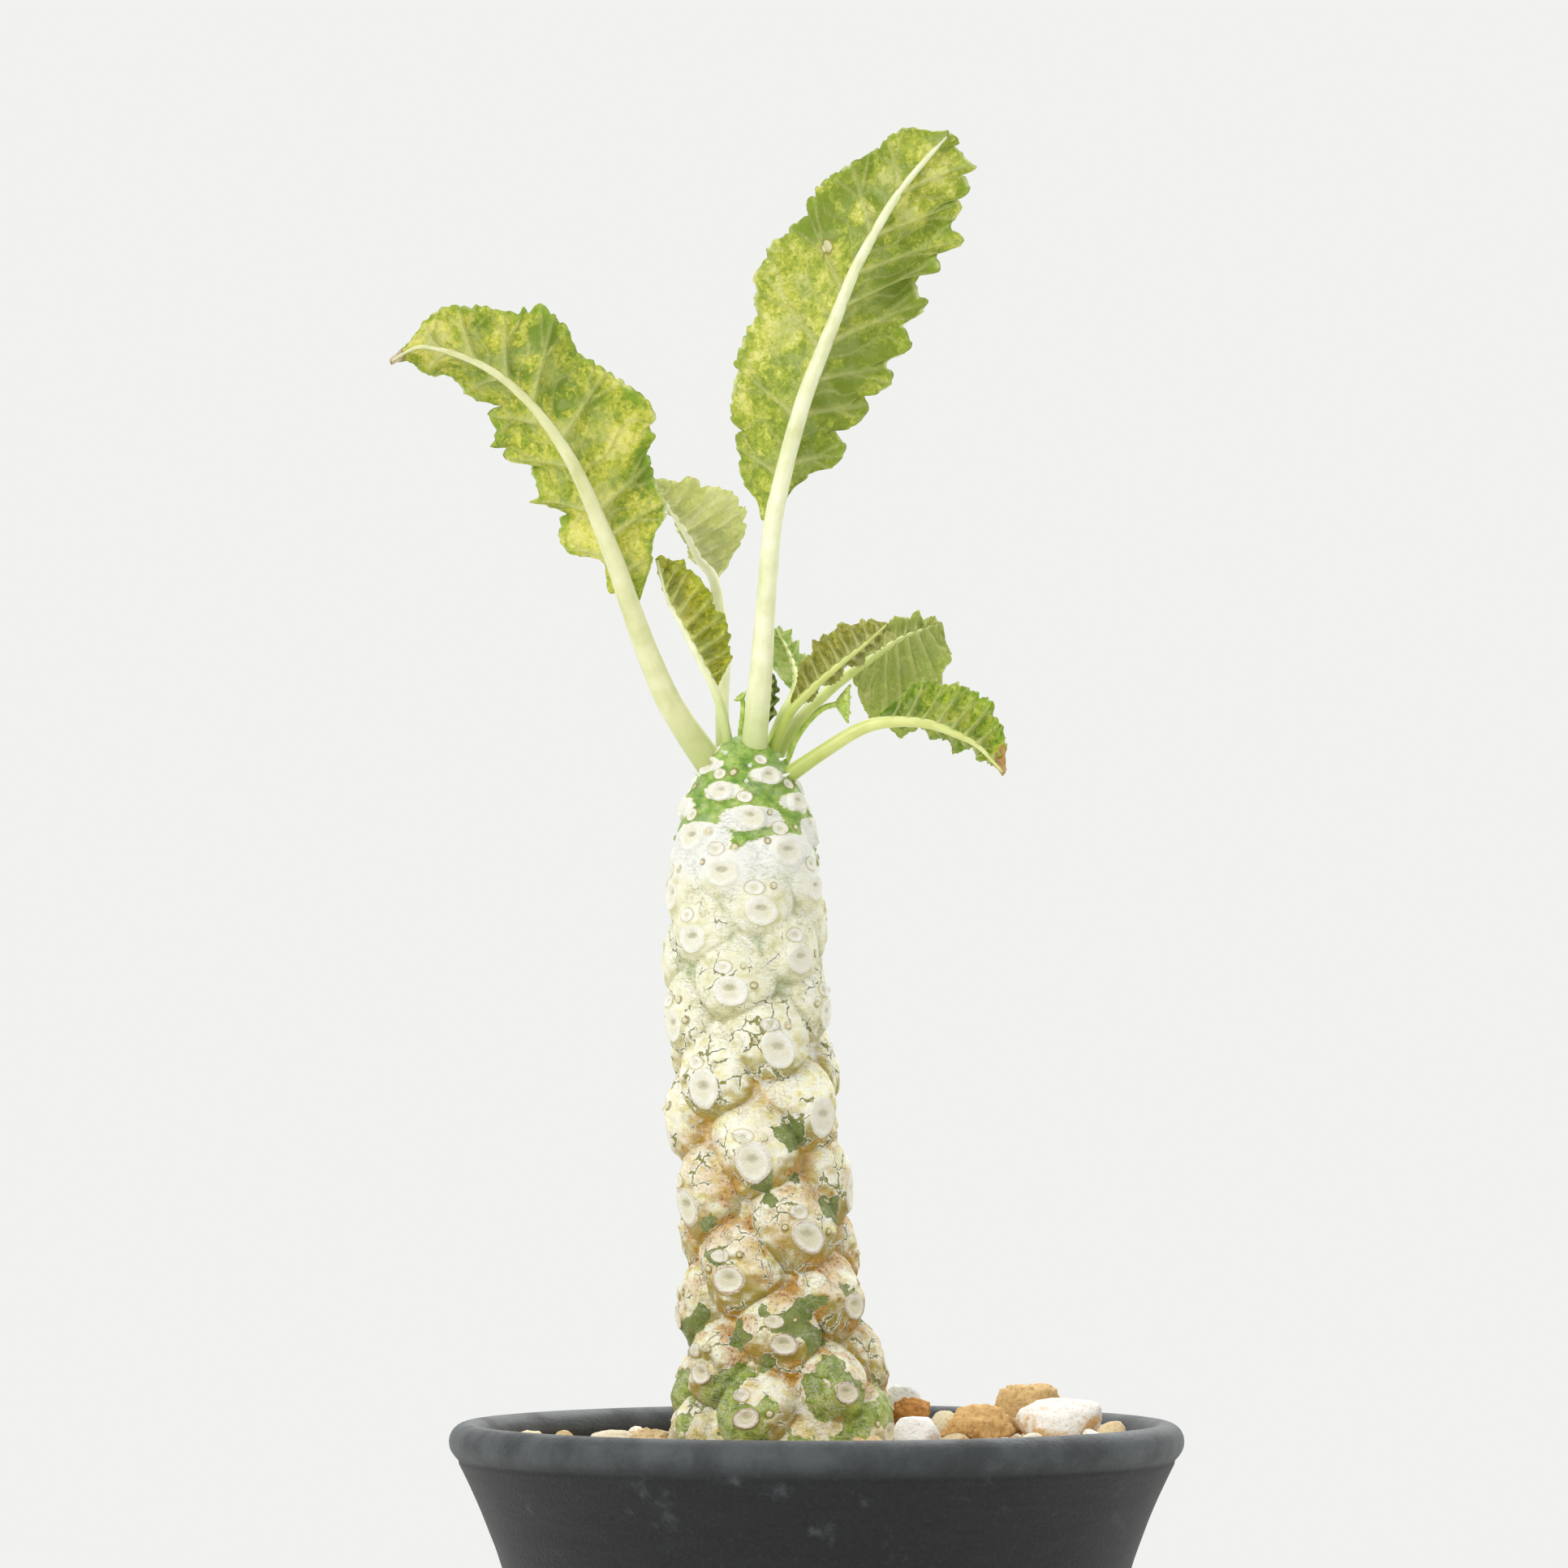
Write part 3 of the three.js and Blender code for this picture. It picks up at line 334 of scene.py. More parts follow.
GRAINS = {
    "grit_grains": (3.3, (1.4, 2.5), 3, -0.6),
    "grit_fines": (1.95, (0.6, 1.15), 2, -0.5),
}  # spacing, smallest and largest half length, how finely a grain is meshed, and how high it lies
GRAIN_FORMS = 8
GRAIN_CRISPNESS = 7
GRAIN_SHAPES = ([0.85, 0.7, 0.6], [1.1, 1.0, 0.85])
PALEST_TINT = 0.85
FACET_COUNT = 11
FACET_NEAR = 0.72
FACET_SPREAD = 0.25
FLAT_SIDE = 0.92
ROUNDNESS = 0.85
STONES = {
    "stone_white_sharp": ((12.6, -14, 77.1), (2.9, 2.6, 2.5), 3, 14),
    "stone_tan_rough": ((19.4, -8, 77.3), (4.1, 3.4, 3.5), 11, 8),
    "stone_white_tan": ((30.6, -6, 77.9), (5.4, 4.6, 3.8), 7, 8),
    "stone_tan_back": ((26.5, 6.5, 79.1), (3.7, 3.2, 3.6), 21, 9),
    "stone_cream_mid": ((20.8, 2.6, 78.3), (2.0, 1.8, 1.9), 5, 7),
    "stone_grey_mid": ((15.6, -1.0, 77.9), (1.9, 1.7, 1.9), 9, 7),
    "stone_brown_by_stem": ((11.9, 2.6, 78.6), (2.4, 2.3, 2.5), 13, 8),
    "stone_pale_back": ((11.0, 12.5, 79.4), (2.5, 2.4, 3.0), 17, 9),
    "stone_tan_left": ((-20.2, -5, 75.9), (2.5, 2.2, 1.9), 19, 6),
    "stone_cream_left": ((-25.3, -12, 76.0), (3.0, 2.4, 1.9), 23, 6),
    "stone_small_left": ((-30.9, -9, 75.6), (1.6, 1.5, 1.4), 29, 6),
    "stone_far_left": ((-35.2, -4, 76.0), (1.7, 1.5, 1.3), 31, 6),
}  # centre, half sizes, seed of the facets, how crisp the edges are


def layered(points, layers):
    """Several noises added up, each with its height, size and seed."""
    return sum(height * noise(points, size, seed) for height, size, seed in layers)


def grit_level(x, y):
    """Height of the grit's top, which slopes up to the right and rises in the heaps."""
    level = GRIT_LEVEL + GRIT_SLOPE * x
    for heap_x, heap_y, reach, height in HEAPS:
        level = level + height * np.exp(-((x - heap_x) ** 2 + (y - heap_y) ** 2) / reach ** 2)
    return level


def ball(subdivisions):
    """The points and triangles of a ball of radius 1."""
    form = bmesh.new()
    bmesh.ops.create_icosphere(form, subdivisions=subdivisions, radius=1)
    points = np.array([corner.co[:] for corner in form.verts])
    faces = np.array([[corner.index for corner in face.verts] for face in form.faces])
    form.free()
    return points, faces


def gathered(solids, faces):
    """The points and faces of several solids that are meshed alike."""
    firsts = len(solids[0]) * np.arange(len(solids))[:, None, None]
    return np.concatenate(solids), (faces + firsts).reshape(-1, 3).tolist()


def seeded(seed):
    """An endless run of even random numbers from 0 to 1."""
    state = seed
    while True:
        state = (state + 0x6D2B79F5) & 0xFFFFFFFF
        t = ((state ^ (state >> 15)) * (state | 1)) & 0xFFFFFFFF
        t ^= (t + (((t ^ (t >> 7)) * (t | 61)) & 0xFFFFFFFF)) & 0xFFFFFFFF
        yield (t ^ (t >> 14)) / 2 ** 32


def worn_flat(directions, seed, crispness):
    """How far a stone's surface lies along each direction, worn flat by facets that a seed picks."""
    draw = seeded(seed)
    flat_sides = [np.maximum(0, side * directions[:, 2] / FLAT_SIDE) ** crispness for side in (1, -1)]
    total = ROUNDNESS ** crispness + sum(flat_sides)
    for _ in range(FACET_COUNT):
        polar = math.acos(2 * next(draw) - 1)
        around = 2 * math.pi * next(draw)
        normal = [math.sin(polar) * math.sin(around), math.cos(polar), math.sin(polar) * math.cos(around)]
        distance = FACET_NEAR + FACET_SPREAD * next(draw)
        total = total + (np.maximum(0, directions @ normal) / distance) ** crispness
    return total ** (-1 / crispness)


def scattered(spacing, rng):
    """Places at about the given spacing over the grit, clear of the stem and the stones."""
    count = int(2 * GRIT_REACH / spacing) + 3
    row, column = np.mgrid[:count, :count] - count // 2
    x = ((column + 0.5 * (row % 2)) * spacing).ravel() + spacing * rng.uniform(-JITTER, JITTER, count ** 2)
    y = (ROW_STEP * row * spacing).ravel() + spacing * rng.uniform(-JITTER, JITTER, count ** 2)
    clear = (np.hypot(x, y) < POUR_REACH - spacing / 2) & (np.hypot(x - STEM_FOOT_X, y) > STEM_ROOM)
    for (stone_x, stone_y, _), (half_x, half_y, _), _, _ in STONES.values():
        aside, behind = (x - stone_x) / (half_x + STONE_ROOM), (y - stone_y) / (half_y + STONE_ROOM)
        clear &= aside ** 2 + behind ** 2 > 1
    return x[clear], y[clear]


def random_turn(rng):
    """A turn in any direction, each as likely as the next."""
    axis = rng.normal(size=4)
    return np.array(Quaternion(axis / np.linalg.norm(axis)).to_matrix())


# Grains of several rocks and clays mixed together: each grain keeps one tint, mottled a little, with
# a dusty, finely pitted surface.
def mixed_grit():
    grit = bare_material("mixed_akadama_and_pumice")
    place = add(grit, "TexCoord").outputs["Object"]
    tint = add(grit, "Attribute", attribute_name="tint").outputs["Fac"]
    mottle = mottling(grit, place, 1.2 * MM, 4.0, 0.65)
    pits = mottling(grit, place, 0.3 * MM, 3.0, 0.7)
    body = ramp(
        grit, plus(grit, tint, (mottle, 0.22)),
        (0.05, "#8a5a2c"), (0.16, "#b5824a"), (0.3, "#c9a069"), (0.45, "#d6ba8a"), (0.6, "#e2d0ab"),
        (0.75, "#ece4cf"), (0.9, "#f1efe8"),
    )
    shade = stained(grit, body, "#7a5c3a", (pits, 0.5, 0.3, 0.0, 0.5))
    bump = bumps(grit, plus(grit, pits, (mottle, 1.4)), 0.9, 0.2 * MM)
    return finished(grit, {"Base Color": shade, "Roughness": 0.92, "Normal": bump})


def poured_grains(name, material, rng):
    """Grains of a few forms, each turned, sized and tinted at random, lying on the bed."""
    spacing, half_lengths, subdivisions, lift = GRAINS[name]
    directions, faces = ball(subdivisions)
    forms = [directions * worn_flat(directions, 40 + k, GRAIN_CRISPNESS)[:, None] for k in range(GRAIN_FORMS)]
    grains, tints = [], []
    for x, y in zip(*scattered(spacing, rng)):
        form = forms[rng.integers(GRAIN_FORMS)]
        form = form * (1 + 0.12 * noise(form, 0.7, rng.integers(50)))[:, None]
        half = rng.uniform(*half_lengths) * rng.uniform(*GRAIN_SHAPES)
        centre = [x, y, grit_level(x, y) + lift + 0.3 * half[2] * rng.uniform(-1, 1)]
        grains.append((form * half) @ random_turn(rng).T + centre)
        tints.append(np.full(len(directions), rng.uniform(0, PALEST_TINT)))
    return mesh_piece(name, *gathered(grains, faces), material, {"tint": np.concatenate(tints)})


grit = mixed_grit()
rng = np.random.default_rng(8)
bed_profile = [(r, GRIT_LEVEL) for r in np.linspace(NEAR_AXIS, GRIT_REACH, BED_RINGS)]
bed_profile += [(pot_outer(z) - POT_WALL - WALL_CLEARANCE, z) for z in GRIT_WALL_HEIGHTS]
bed_profile.append((NEAR_AXIS, GRIT_WALL_HEIGHTS[-1]))
points, faces = lathed(bed_profile, BED_SECTORS)
top = np.arange(len(points)) < BED_RINGS * BED_SECTORS
points[top, 2] = grit_level(*points[top, :2].T) - BED_SUNK + layered(points[top], BED_RELIEF)
bed = mesh_piece("grit_bed", points, faces, grit, {"tint": 0.4 + 0.35 * noise(points, 1.3, 11)})
poured = [poured_grains(name, grit, rng) for name in GRAINS]
for piece in (bed, *poured):
    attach(piece, "root")
    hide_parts("grit")


# Stones
# Twelve larger stones lying on the grit: white and cream pumice with sharp broken faces, and baked
# akadama clay, tan to brown, rough and crumbly, some of it stained by iron.
STONE_COLOURS = {
    "stone_white_sharp": ("#fbfbf8", "#e6e4dc", 0.1),
    "stone_tan_rough": ("#deb475", "#b07a38", 0.3),
    "stone_white_tan": ("#f9f7f1", "#dcb478", 0.45),
    "stone_tan_back": ("#e2c086", "#b98a48", 0.3),
    "stone_cream_mid": ("#f3ebd2", "#d8c59e", 0.3),
    "stone_grey_mid": ("#e4d8b6", "#bba878", 0.4),
    "stone_brown_by_stem": ("#c88f48", "#8e5820", 0.4),
    "stone_pale_back": ("#f4f5f2", "#d6d5ca", 0.2),
    "stone_tan_left": ("#e6cc9c", "#c29c60", 0.3),
    "stone_cream_left": ("#f3e7cb", "#d8bd8e", 0.3),
    "stone_small_left": ("#eadcb8", "#c8ac78", 0.3),
    "stone_far_left": ("#efe3c2", "#ccb284", 0.3),
}  # main colour, stain, how much of the stone is stained
AKADAMA = ("stone_tan_rough", "stone_tan_back", "stone_brown_by_stem", "stone_tan_left")
CHIPS = {
    "akadama": ((0.2, 0.34), (0.12, 0.16)),
    "pumice": ((0.03, 0.2), (0.015, 0.09)),
}  # depth and size of coarse and fine chips, as shares of the stone's half size
AKADAMA_SUNK = 0.09
CHIP_CRISPNESS = 8
LOW_STAIN = 0.05


# A broken stone: the main colour, with stains that gather low on it and in its hollows, and pores of
# 0.8 mm under a fine grain.
def broken_stone(name, middle, body_colour, stain_colour, stained_share):
    stone = bare_material(name)
    place = add(stone, "TexCoord").outputs["Object"]
    clouds = mottling(stone, place, 3.2 * MM, 5.0, 0.6)
    grain = mottling(stone, place, 0.35 * MM, 4.0, 0.7)
    pores = cells(stone, place, 0.8 * MM)
    height = add(stone, "SeparateXYZ", {0: place}).outputs["Z"]
    lowness = plus(stone, LOW_STAIN * middle, (height, -LOW_STAIN / MM))
    damp = add(stone, "Math", {0: clouds, 1: lowness}, operation="ADD")
    stain = (damp, 0.62 - stained_share / 3, 0.78 - stained_share / 3)
    shade = stained(stone, linear(body_colour), stain_colour, stain)
    shade = stained(stone, shade, stain_colour, (grain, 0.52, 0.38, 0.0, 0.45))
    hollow = add(stone, "MapRange", {0: pores, 1: 0.05, 2: 0.3, 3: -0.6, 4: 0.0})
    relief = add(stone, "Math", {0: grain, 1: hollow}, operation="ADD")
    return finished(stone, {
        "Base Color": shade, "Roughness": 0.88, "Normal": bumps(stone, relief, 1.0, 0.3 * MM),
        "Subsurface Weight": 0.15, "Subsurface Radius": (1, 0.9, 0.7), "Subsurface Scale": 0.6 * MM,
    })


for name, (centre, half, seed, crispness) in STONES.items():
    directions, faces = ball(5)
    surface_at = directions * worn_flat(directions, seed, crispness)[:, None]
    kind = "akadama" if name in AKADAMA else "pumice"
    chips = 0.06 * noise(surface_at, 0.5, seed)
    layers = enumerate(CHIPS[kind], 1)
    coarse, fine = [depth * noise(surface_at, size, seed + k) for k, (depth, size) in layers]
    if kind == "akadama":
        chips += np.abs(coarse) + np.abs(fine) - AKADAMA_SUNK
    else:
        chips += coarse + fine
    points = surface_at * (1 + chips * CHIP_CRISPNESS / crispness)[:, None] * half + centre
    material = broken_stone(f"{kind}_{name.removeprefix('stone_')}", centre[2], *STONE_COLOURS[name])
    stone = mesh_piece(name, points, faces.tolist(), material)
    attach(stone, "root")
    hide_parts(name)


# Stem
# One fleshy, leaning stem whose skin swells into a cushion under each fallen leaf. Round cream scars
# climb it in a spiral; the skin is chalky and green near the crown, cracked with age lower down, and
# green with flaking scurf at the foot, where it stands in the grit.
STEM_RADIUS = [
    (58, 4.5), (61, 8.5), (67, 12.2), (73, 13.3), (78, 13.2), (83, 12.2), (88, 11.1), (98, 10.1), (108, 9.9),
    (118, 9.8), (128, 9.5), (138, 9.5), (148, 8.8), (153, 7.8), (156, 6.6), (158.7, 5.3), (160.6, 4.0),
    (161.8, 2.6), (162.4, 1.2), (162.6, 0.2),
]
STEM_AXIS_X = [
    (58, -3.7), (74, -3.9), (83, -3.9), (88, -4.7), (98, -5.7), (108, -6.8), (118, -7.7), (128, -8.4),
    (138, -8.7), (148, -8.7), (163, -8.7),
]
STEM_SWELL = [
    (58, 0), (70, 0.4), (78, 1.3), (92, 1.7), (112, 1.6), (126, 1.1), (138, 0.6), (150, 0.3), (163, 0),
]
STEM_COLUMNS = 250
STEM_ROWS = 350
STEM_FOOT = 60
STEM_TIP = 162.58
SCAR_NUMBERS = range(-25, 45)
SCAR_START = -4
SCAR_TURN = 137.9
SCAR_CLIMB = [
    (-27, 73.5), (-22, 78), (-13, 88), (-5, 101), (5, 119), (13, 131), (21, 140.8), (29, 148.1), (34, 152.3),
    (39, 155.5), (46, 160),
]
SCAR_RADIUS = 2.15
SCAR_TALLNESS = [(78, 0.8), (95, 0.85), (103, 1.1), (112, 1.25), (122, 1.15), (130, 0.9), (160, 0.78)]
SCAR_TILT = 0.12
FULL_PITCH = 7
GOLDEN = 0.618034
YOUNG_SCAR = 0.91
OLD_SCAR = 0.74
OLD_SCARS_TOP = 92
SHRUNKEN_SCAR = 0.6
SHRUNKEN_CHANCE = 0.45
SHRUNKEN_TOP = 104
NO_SCAR = 9
NO_PAD = 99
# A scar's form, in shares of its radius: where it drops to the skin; its rim's height, place and half
# width; and where its dish rises again.
SCAR_DISC = ((0.98, 1.3), (0.12, 0.92, 0.08), (0.35, 0.86))
FLOWER_DISC = ((0.9, 1.3), (0.1, 0.86, 0.12), (0.1, 0.8))
DISH_DEPTH = 0.22
DIMPLE_HALF = (0.62, 0.3)
DIMPLE_RISE = 0.24
DIMPLE_DEPTH = 0.24
PAD_SPREAD = (0.17, 0.7)
PAD_HEIGHT = 0.16
CROWN_PAD_HEIGHT = 0.26
CROWN_FROM = 144
CROWN_FULL = 153
CUSHION_BLEND = 8
CUSHION_HALF = (0.66, 0.58)
CUSHION_RISE = 0.14
WOBBLE = [(0.07, 1.6, 20), (0.03, 0.7, 21)]
SWAY = 0.8
HEAVE = 0.7
SWELL_GAIN = 1.65
SWELL_MIDDLE = 0.58
SWELL_LIFT = 0.14
DOME_FULLNESS = 0.8
CREASE_DEPTH = 0.2
CREASE_HALF = 0.14
FLOWER_SCAR_AT = (-0.8, 3.0)
FLOWER_SCAR_HALF = (1.15, 0.85)
FLOWER_SCAR_DEPTH = 0.16
FLOWER_SCAR_CHANCE = 0.6
FLOWER_SCARS_FROM = 120
FLOWER_SCARS_TOP = 156
NUBS = [(1.5, 2.9, 0.85), (-2.6, 1.2, 0.4), (2.7, 0.6, 0.35)]  # aside, up, and how many scars have one
NUB_SHUFFLE = 7.3
NUB_HEIGHT = 0.32
NUB_RADIUS = 0.42
AGED_BELOW = 118
SMOOTH_ABOVE = 142
SKIN_RELIEF = [
    (3.0, 0.1, 0.3, 23), (1.2, 0.05, 0.18, 24), (0.6, 0.02, 0.05, 25),
]  # size, height, what age adds, seed
BURIED_BELOW = 72
BURIED_SHARE = 0.25
SKIN_LUMPS = {
    "fine": (0.45, 4.0, 1.4, 0.7),
    "soft": (1.6, 4.0, 1.2, 0.6),
    "broad": (5.0, 3.0, 1.0, 0.6),
    "drift": (2.2, 3.0, 1.0, 0.6),
    "threads": (1.3, 3.0, 3.2, 0.6),
    "rust": (3.8, 3.0, 1.0, 0.6),
    "specks": (0.5, 4.0, 1.0, 0.8),
    "bloom": (1.8, 5.0, 1.6, 0.7),
    "web": (1.5, 4.0, 1.6, 0.75),
    "scurf": (2.6, 4.0, 1.0, 0.6),
    "splits": (4.2, 3.0, 1.0, 0.6),
    "crazing": (3.1, 2.0, 1.0, 0.6),
    "crown": (2.4, 4.0, 1.0, 0.6),
    "fringe": (0.9, 5.0, 2.6, 0.7),
    "grain": (0.2, 3.0, 1.0, 0.6),
}  # size in mm, detail, how much flatter than wide, and roughness
SPINE_RADIUS = 0.28
SPINE_TAPER = 1.5
SPINE_HALF_LENGTH = 1.4
SPINE_LIFT = 0.35
SPINES = [
    (-35, 160.2), (6, 158.6), (1, 156.7), (65, 159.4), (53, 157.4), (120, 158.8), (165, 160), (-150, 158.2),
    (-100, 159.6), (-75, 157.6), (150, 156.5),
]  # turn from the front in degrees, and height


def through(points, x):
    """A smooth curve through (x, y) points, whose slope at each point is that of its neighbours."""
    xs, ys = np.array(points, float).T
    slopes = np.gradient(ys) / np.gradient(xs)
    x = np.clip(x, xs[0], xs[-1])
    i = np.clip(np.searchsorted(xs, x) - 1, 0, len(xs) - 2)
    step = xs[i + 1] - xs[i]
    t = (x - xs[i]) / step
    bend = (t ** 3 - 2 * t ** 2 + t) * slopes[i] + (t ** 3 - t ** 2) * slopes[i + 1]
    return ys[i] + (3 * t ** 2 - 2 * t ** 3) * (ys[i + 1] - ys[i]) + step * bend


def eased(x, start, end):
    """Rises smoothly from 0 at start to 1 at end."""
    t = np.clip((x - start) / (end - start), 0, 1)
    return t * t * (3 - 2 * t)


def wrapped(turn):
    return np.arctan2(np.sin(turn), np.cos(turn))


def leaf_scars():
    """Each leaf scar up the spiral: its height and turn, the spacing to its neighbours and what that
    leaves of its full size, its own chance, half width, tallness and tilt."""
    for n in SCAR_NUMBERS:
        z = through(SCAR_CLIMB, n)
        climb = through(SCAR_CLIMB, n + 0.5) - through(SCAR_CLIMB, n - 0.5)
        pitch = math.sqrt(2 * math.pi * through(STEM_RADIUS, z) * climb)
        room = min(1, pitch / FULL_PITCH)
        chance = (GOLDEN * (n + 40)) % 1
        size = (YOUNG_SCAR if z > OLD_SCARS_TOP else OLD_SCAR) * SCAR_RADIUS * room
        if z <= SHRUNKEN_TOP and chance <= SHRUNKEN_CHANCE:
            size *= SHRUNKEN_SCAR
        tall = through(SCAR_TALLNESS, z) * (0.92 + 0.16 * chance)
        turn = math.radians(SCAR_START + SCAR_TURN * n)
        yield z, turn, pitch, room, chance, size, tall, SCAR_TILT * math.sin(5.3 * n)


def disc_relief(rho, form, rise, dish):
    """A scar of radius 1 that stands off the skin, with a rim round its edge and a dish in its middle."""
    drop, (rim, rim_at, rim_half), hollow = form
    raised = rise * (1 - eased(rho, *drop)) + rim * np.exp(-((rho - rim_at) / rim_half) ** 2)
    return raised - dish * (1 - eased(rho, *hollow))


def stem_skin(turn, z):
    """The skin's distance from the axis, and the fields that its colours follow. Distances from scars
    are in radii of the scar: rho from the middle of the nearest one, small from a flower scar's."""
    radius = through(STEM_RADIUS, z)
    place = np.stack([radius * np.sin(turn), -radius * np.cos(turn), z], axis=-1)
    cushions, highest, second, relief = [np.zeros_like(z) for _ in range(4)]
    flower_scar, nub, from_pad = [np.full_like(z, far) for far in (NO_SCAR, NO_SCAR, NO_PAD)]
    scar = np.stack([np.full_like(z, NO_SCAR), np.zeros_like(z), np.zeros_like(z)], axis=-1)
    wobble = layered(place, WOBBLE)
    sway, heave = SWAY * noise(place, 5, 29), HEAVE * noise(place, 4.5, 30)
    for scar_z, scar_turn, pitch, room, chance, size, tall, tilt in leaf_scars():
        across = radius * wrapped(turn - scar_turn)
        up = z - scar_z

        reach = ((across + sway) / pitch / CUSHION_HALF[0]) ** 2
        reach += (((up + heave) / pitch - CUSHION_RISE) / CUSHION_HALF[1]) ** 2
        swollen = np.maximum(0, 1 - reach) * (0.82 + 0.3 * chance)
        cushions += swollen ** CUSHION_BLEND
        second = np.maximum(second, np.minimum(highest, swollen))
        highest = np.maximum(highest, swollen)

        aside, above = (across - tilt * up) / size, up / (tall * size)
        rho = np.hypot(aside, above) + wobble
        from_pad = np.minimum(from_pad, PAD_SPREAD[0] * aside ** 2 + PAD_SPREAD[1] * above ** 2)
        from_dimple = rho ** 2 - above ** 2 + 3.2 * (above - 0.2) ** 2
        near = rho < scar[..., 0]
        scar[near] = np.stack([rho, from_dimple, np.full_like(z, chance)], axis=-1)[near]
        depth = 0.7 + 0.6 * chance
        rise = PAD_HEIGHT + CROWN_PAD_HEIGHT * float(eased(scar_z, CROWN_FROM, CROWN_FULL))
        relief += disc_relief(rho, SCAR_DISC, rise, depth * DISH_DEPTH)
        dimple = np.hypot(across / DIMPLE_HALF[0], (up - DIMPLE_RISE * size) / DIMPLE_HALF[1])
        relief -= depth * DIMPLE_DEPTH * np.exp(-dimple ** 2)

        if FLOWER_SCARS_TOP > scar_z > FLOWER_SCARS_FROM or chance > FLOWER_SCAR_CHANCE:
            aside = across - FLOWER_SCAR_AT[0] * room
            above = up - (FLOWER_SCAR_AT[1] + tall - 1) * room
            small = np.hypot(aside / FLOWER_SCAR_HALF[0], above / FLOWER_SCAR_HALF[1]) / room + 1.5 * wobble
            flower_scar = np.minimum(flower_scar, small)
            relief += disc_relief(small, FLOWER_DISC, FLOWER_SCAR_DEPTH, FLOWER_SCAR_DEPTH)
        for spot_x, spot_up, likely in NUBS:
            if (chance * NUB_SHUFFLE + spot_x) % 1 < likely and scar_z < FLOWER_SCARS_TOP:
                spot = np.hypot(across - spot_x * room, up - spot_up * room * (0.9 + 0.2 * chance))
                nub = np.minimum(nub, spot / (0.75 + 0.5 * chance))

    cushion = cushions ** (1 / CUSHION_BLEND)
    dome = np.clip(cushion, 0, 1) ** DOME_FULLNESS
    crease = np.maximum(highest - second + 0.1 * noise(place, 2.2, 28), 0)
    crease_depth = CREASE_DEPTH * (1 + noise(place, 6, 31)) * np.exp(-(crease / CREASE_HALF) ** 2)
    relief += through(STEM_SWELL, z) * (SWELL_GAIN * (dome - SWELL_MIDDLE) + SWELL_LIFT - crease_depth)
    nub = nub + 2 * wobble
    relief += NUB_HEIGHT * np.maximum(0, 1 - (nub / NUB_RADIUS) ** 2) ** 0.6
    bare = eased(scar[..., 0], 0.95, 1.4)
    age = 1 - eased(z, AGED_BELOW, SMOOTH_ABOVE)
    for size, young, aged_tint_and_shade, seed in SKIN_RELIEF:
        relief += bare * (young + aged_tint_and_shade * age) * noise(place, size, seed)
    relief *= eased(STEM_TIP - z, 0, 3)
    fields = {"scar": scar, "flower_scar": flower_scar, "nub": nub, "cushion": cushion, "from_pad": from_pad}
    return radius + relief, fields
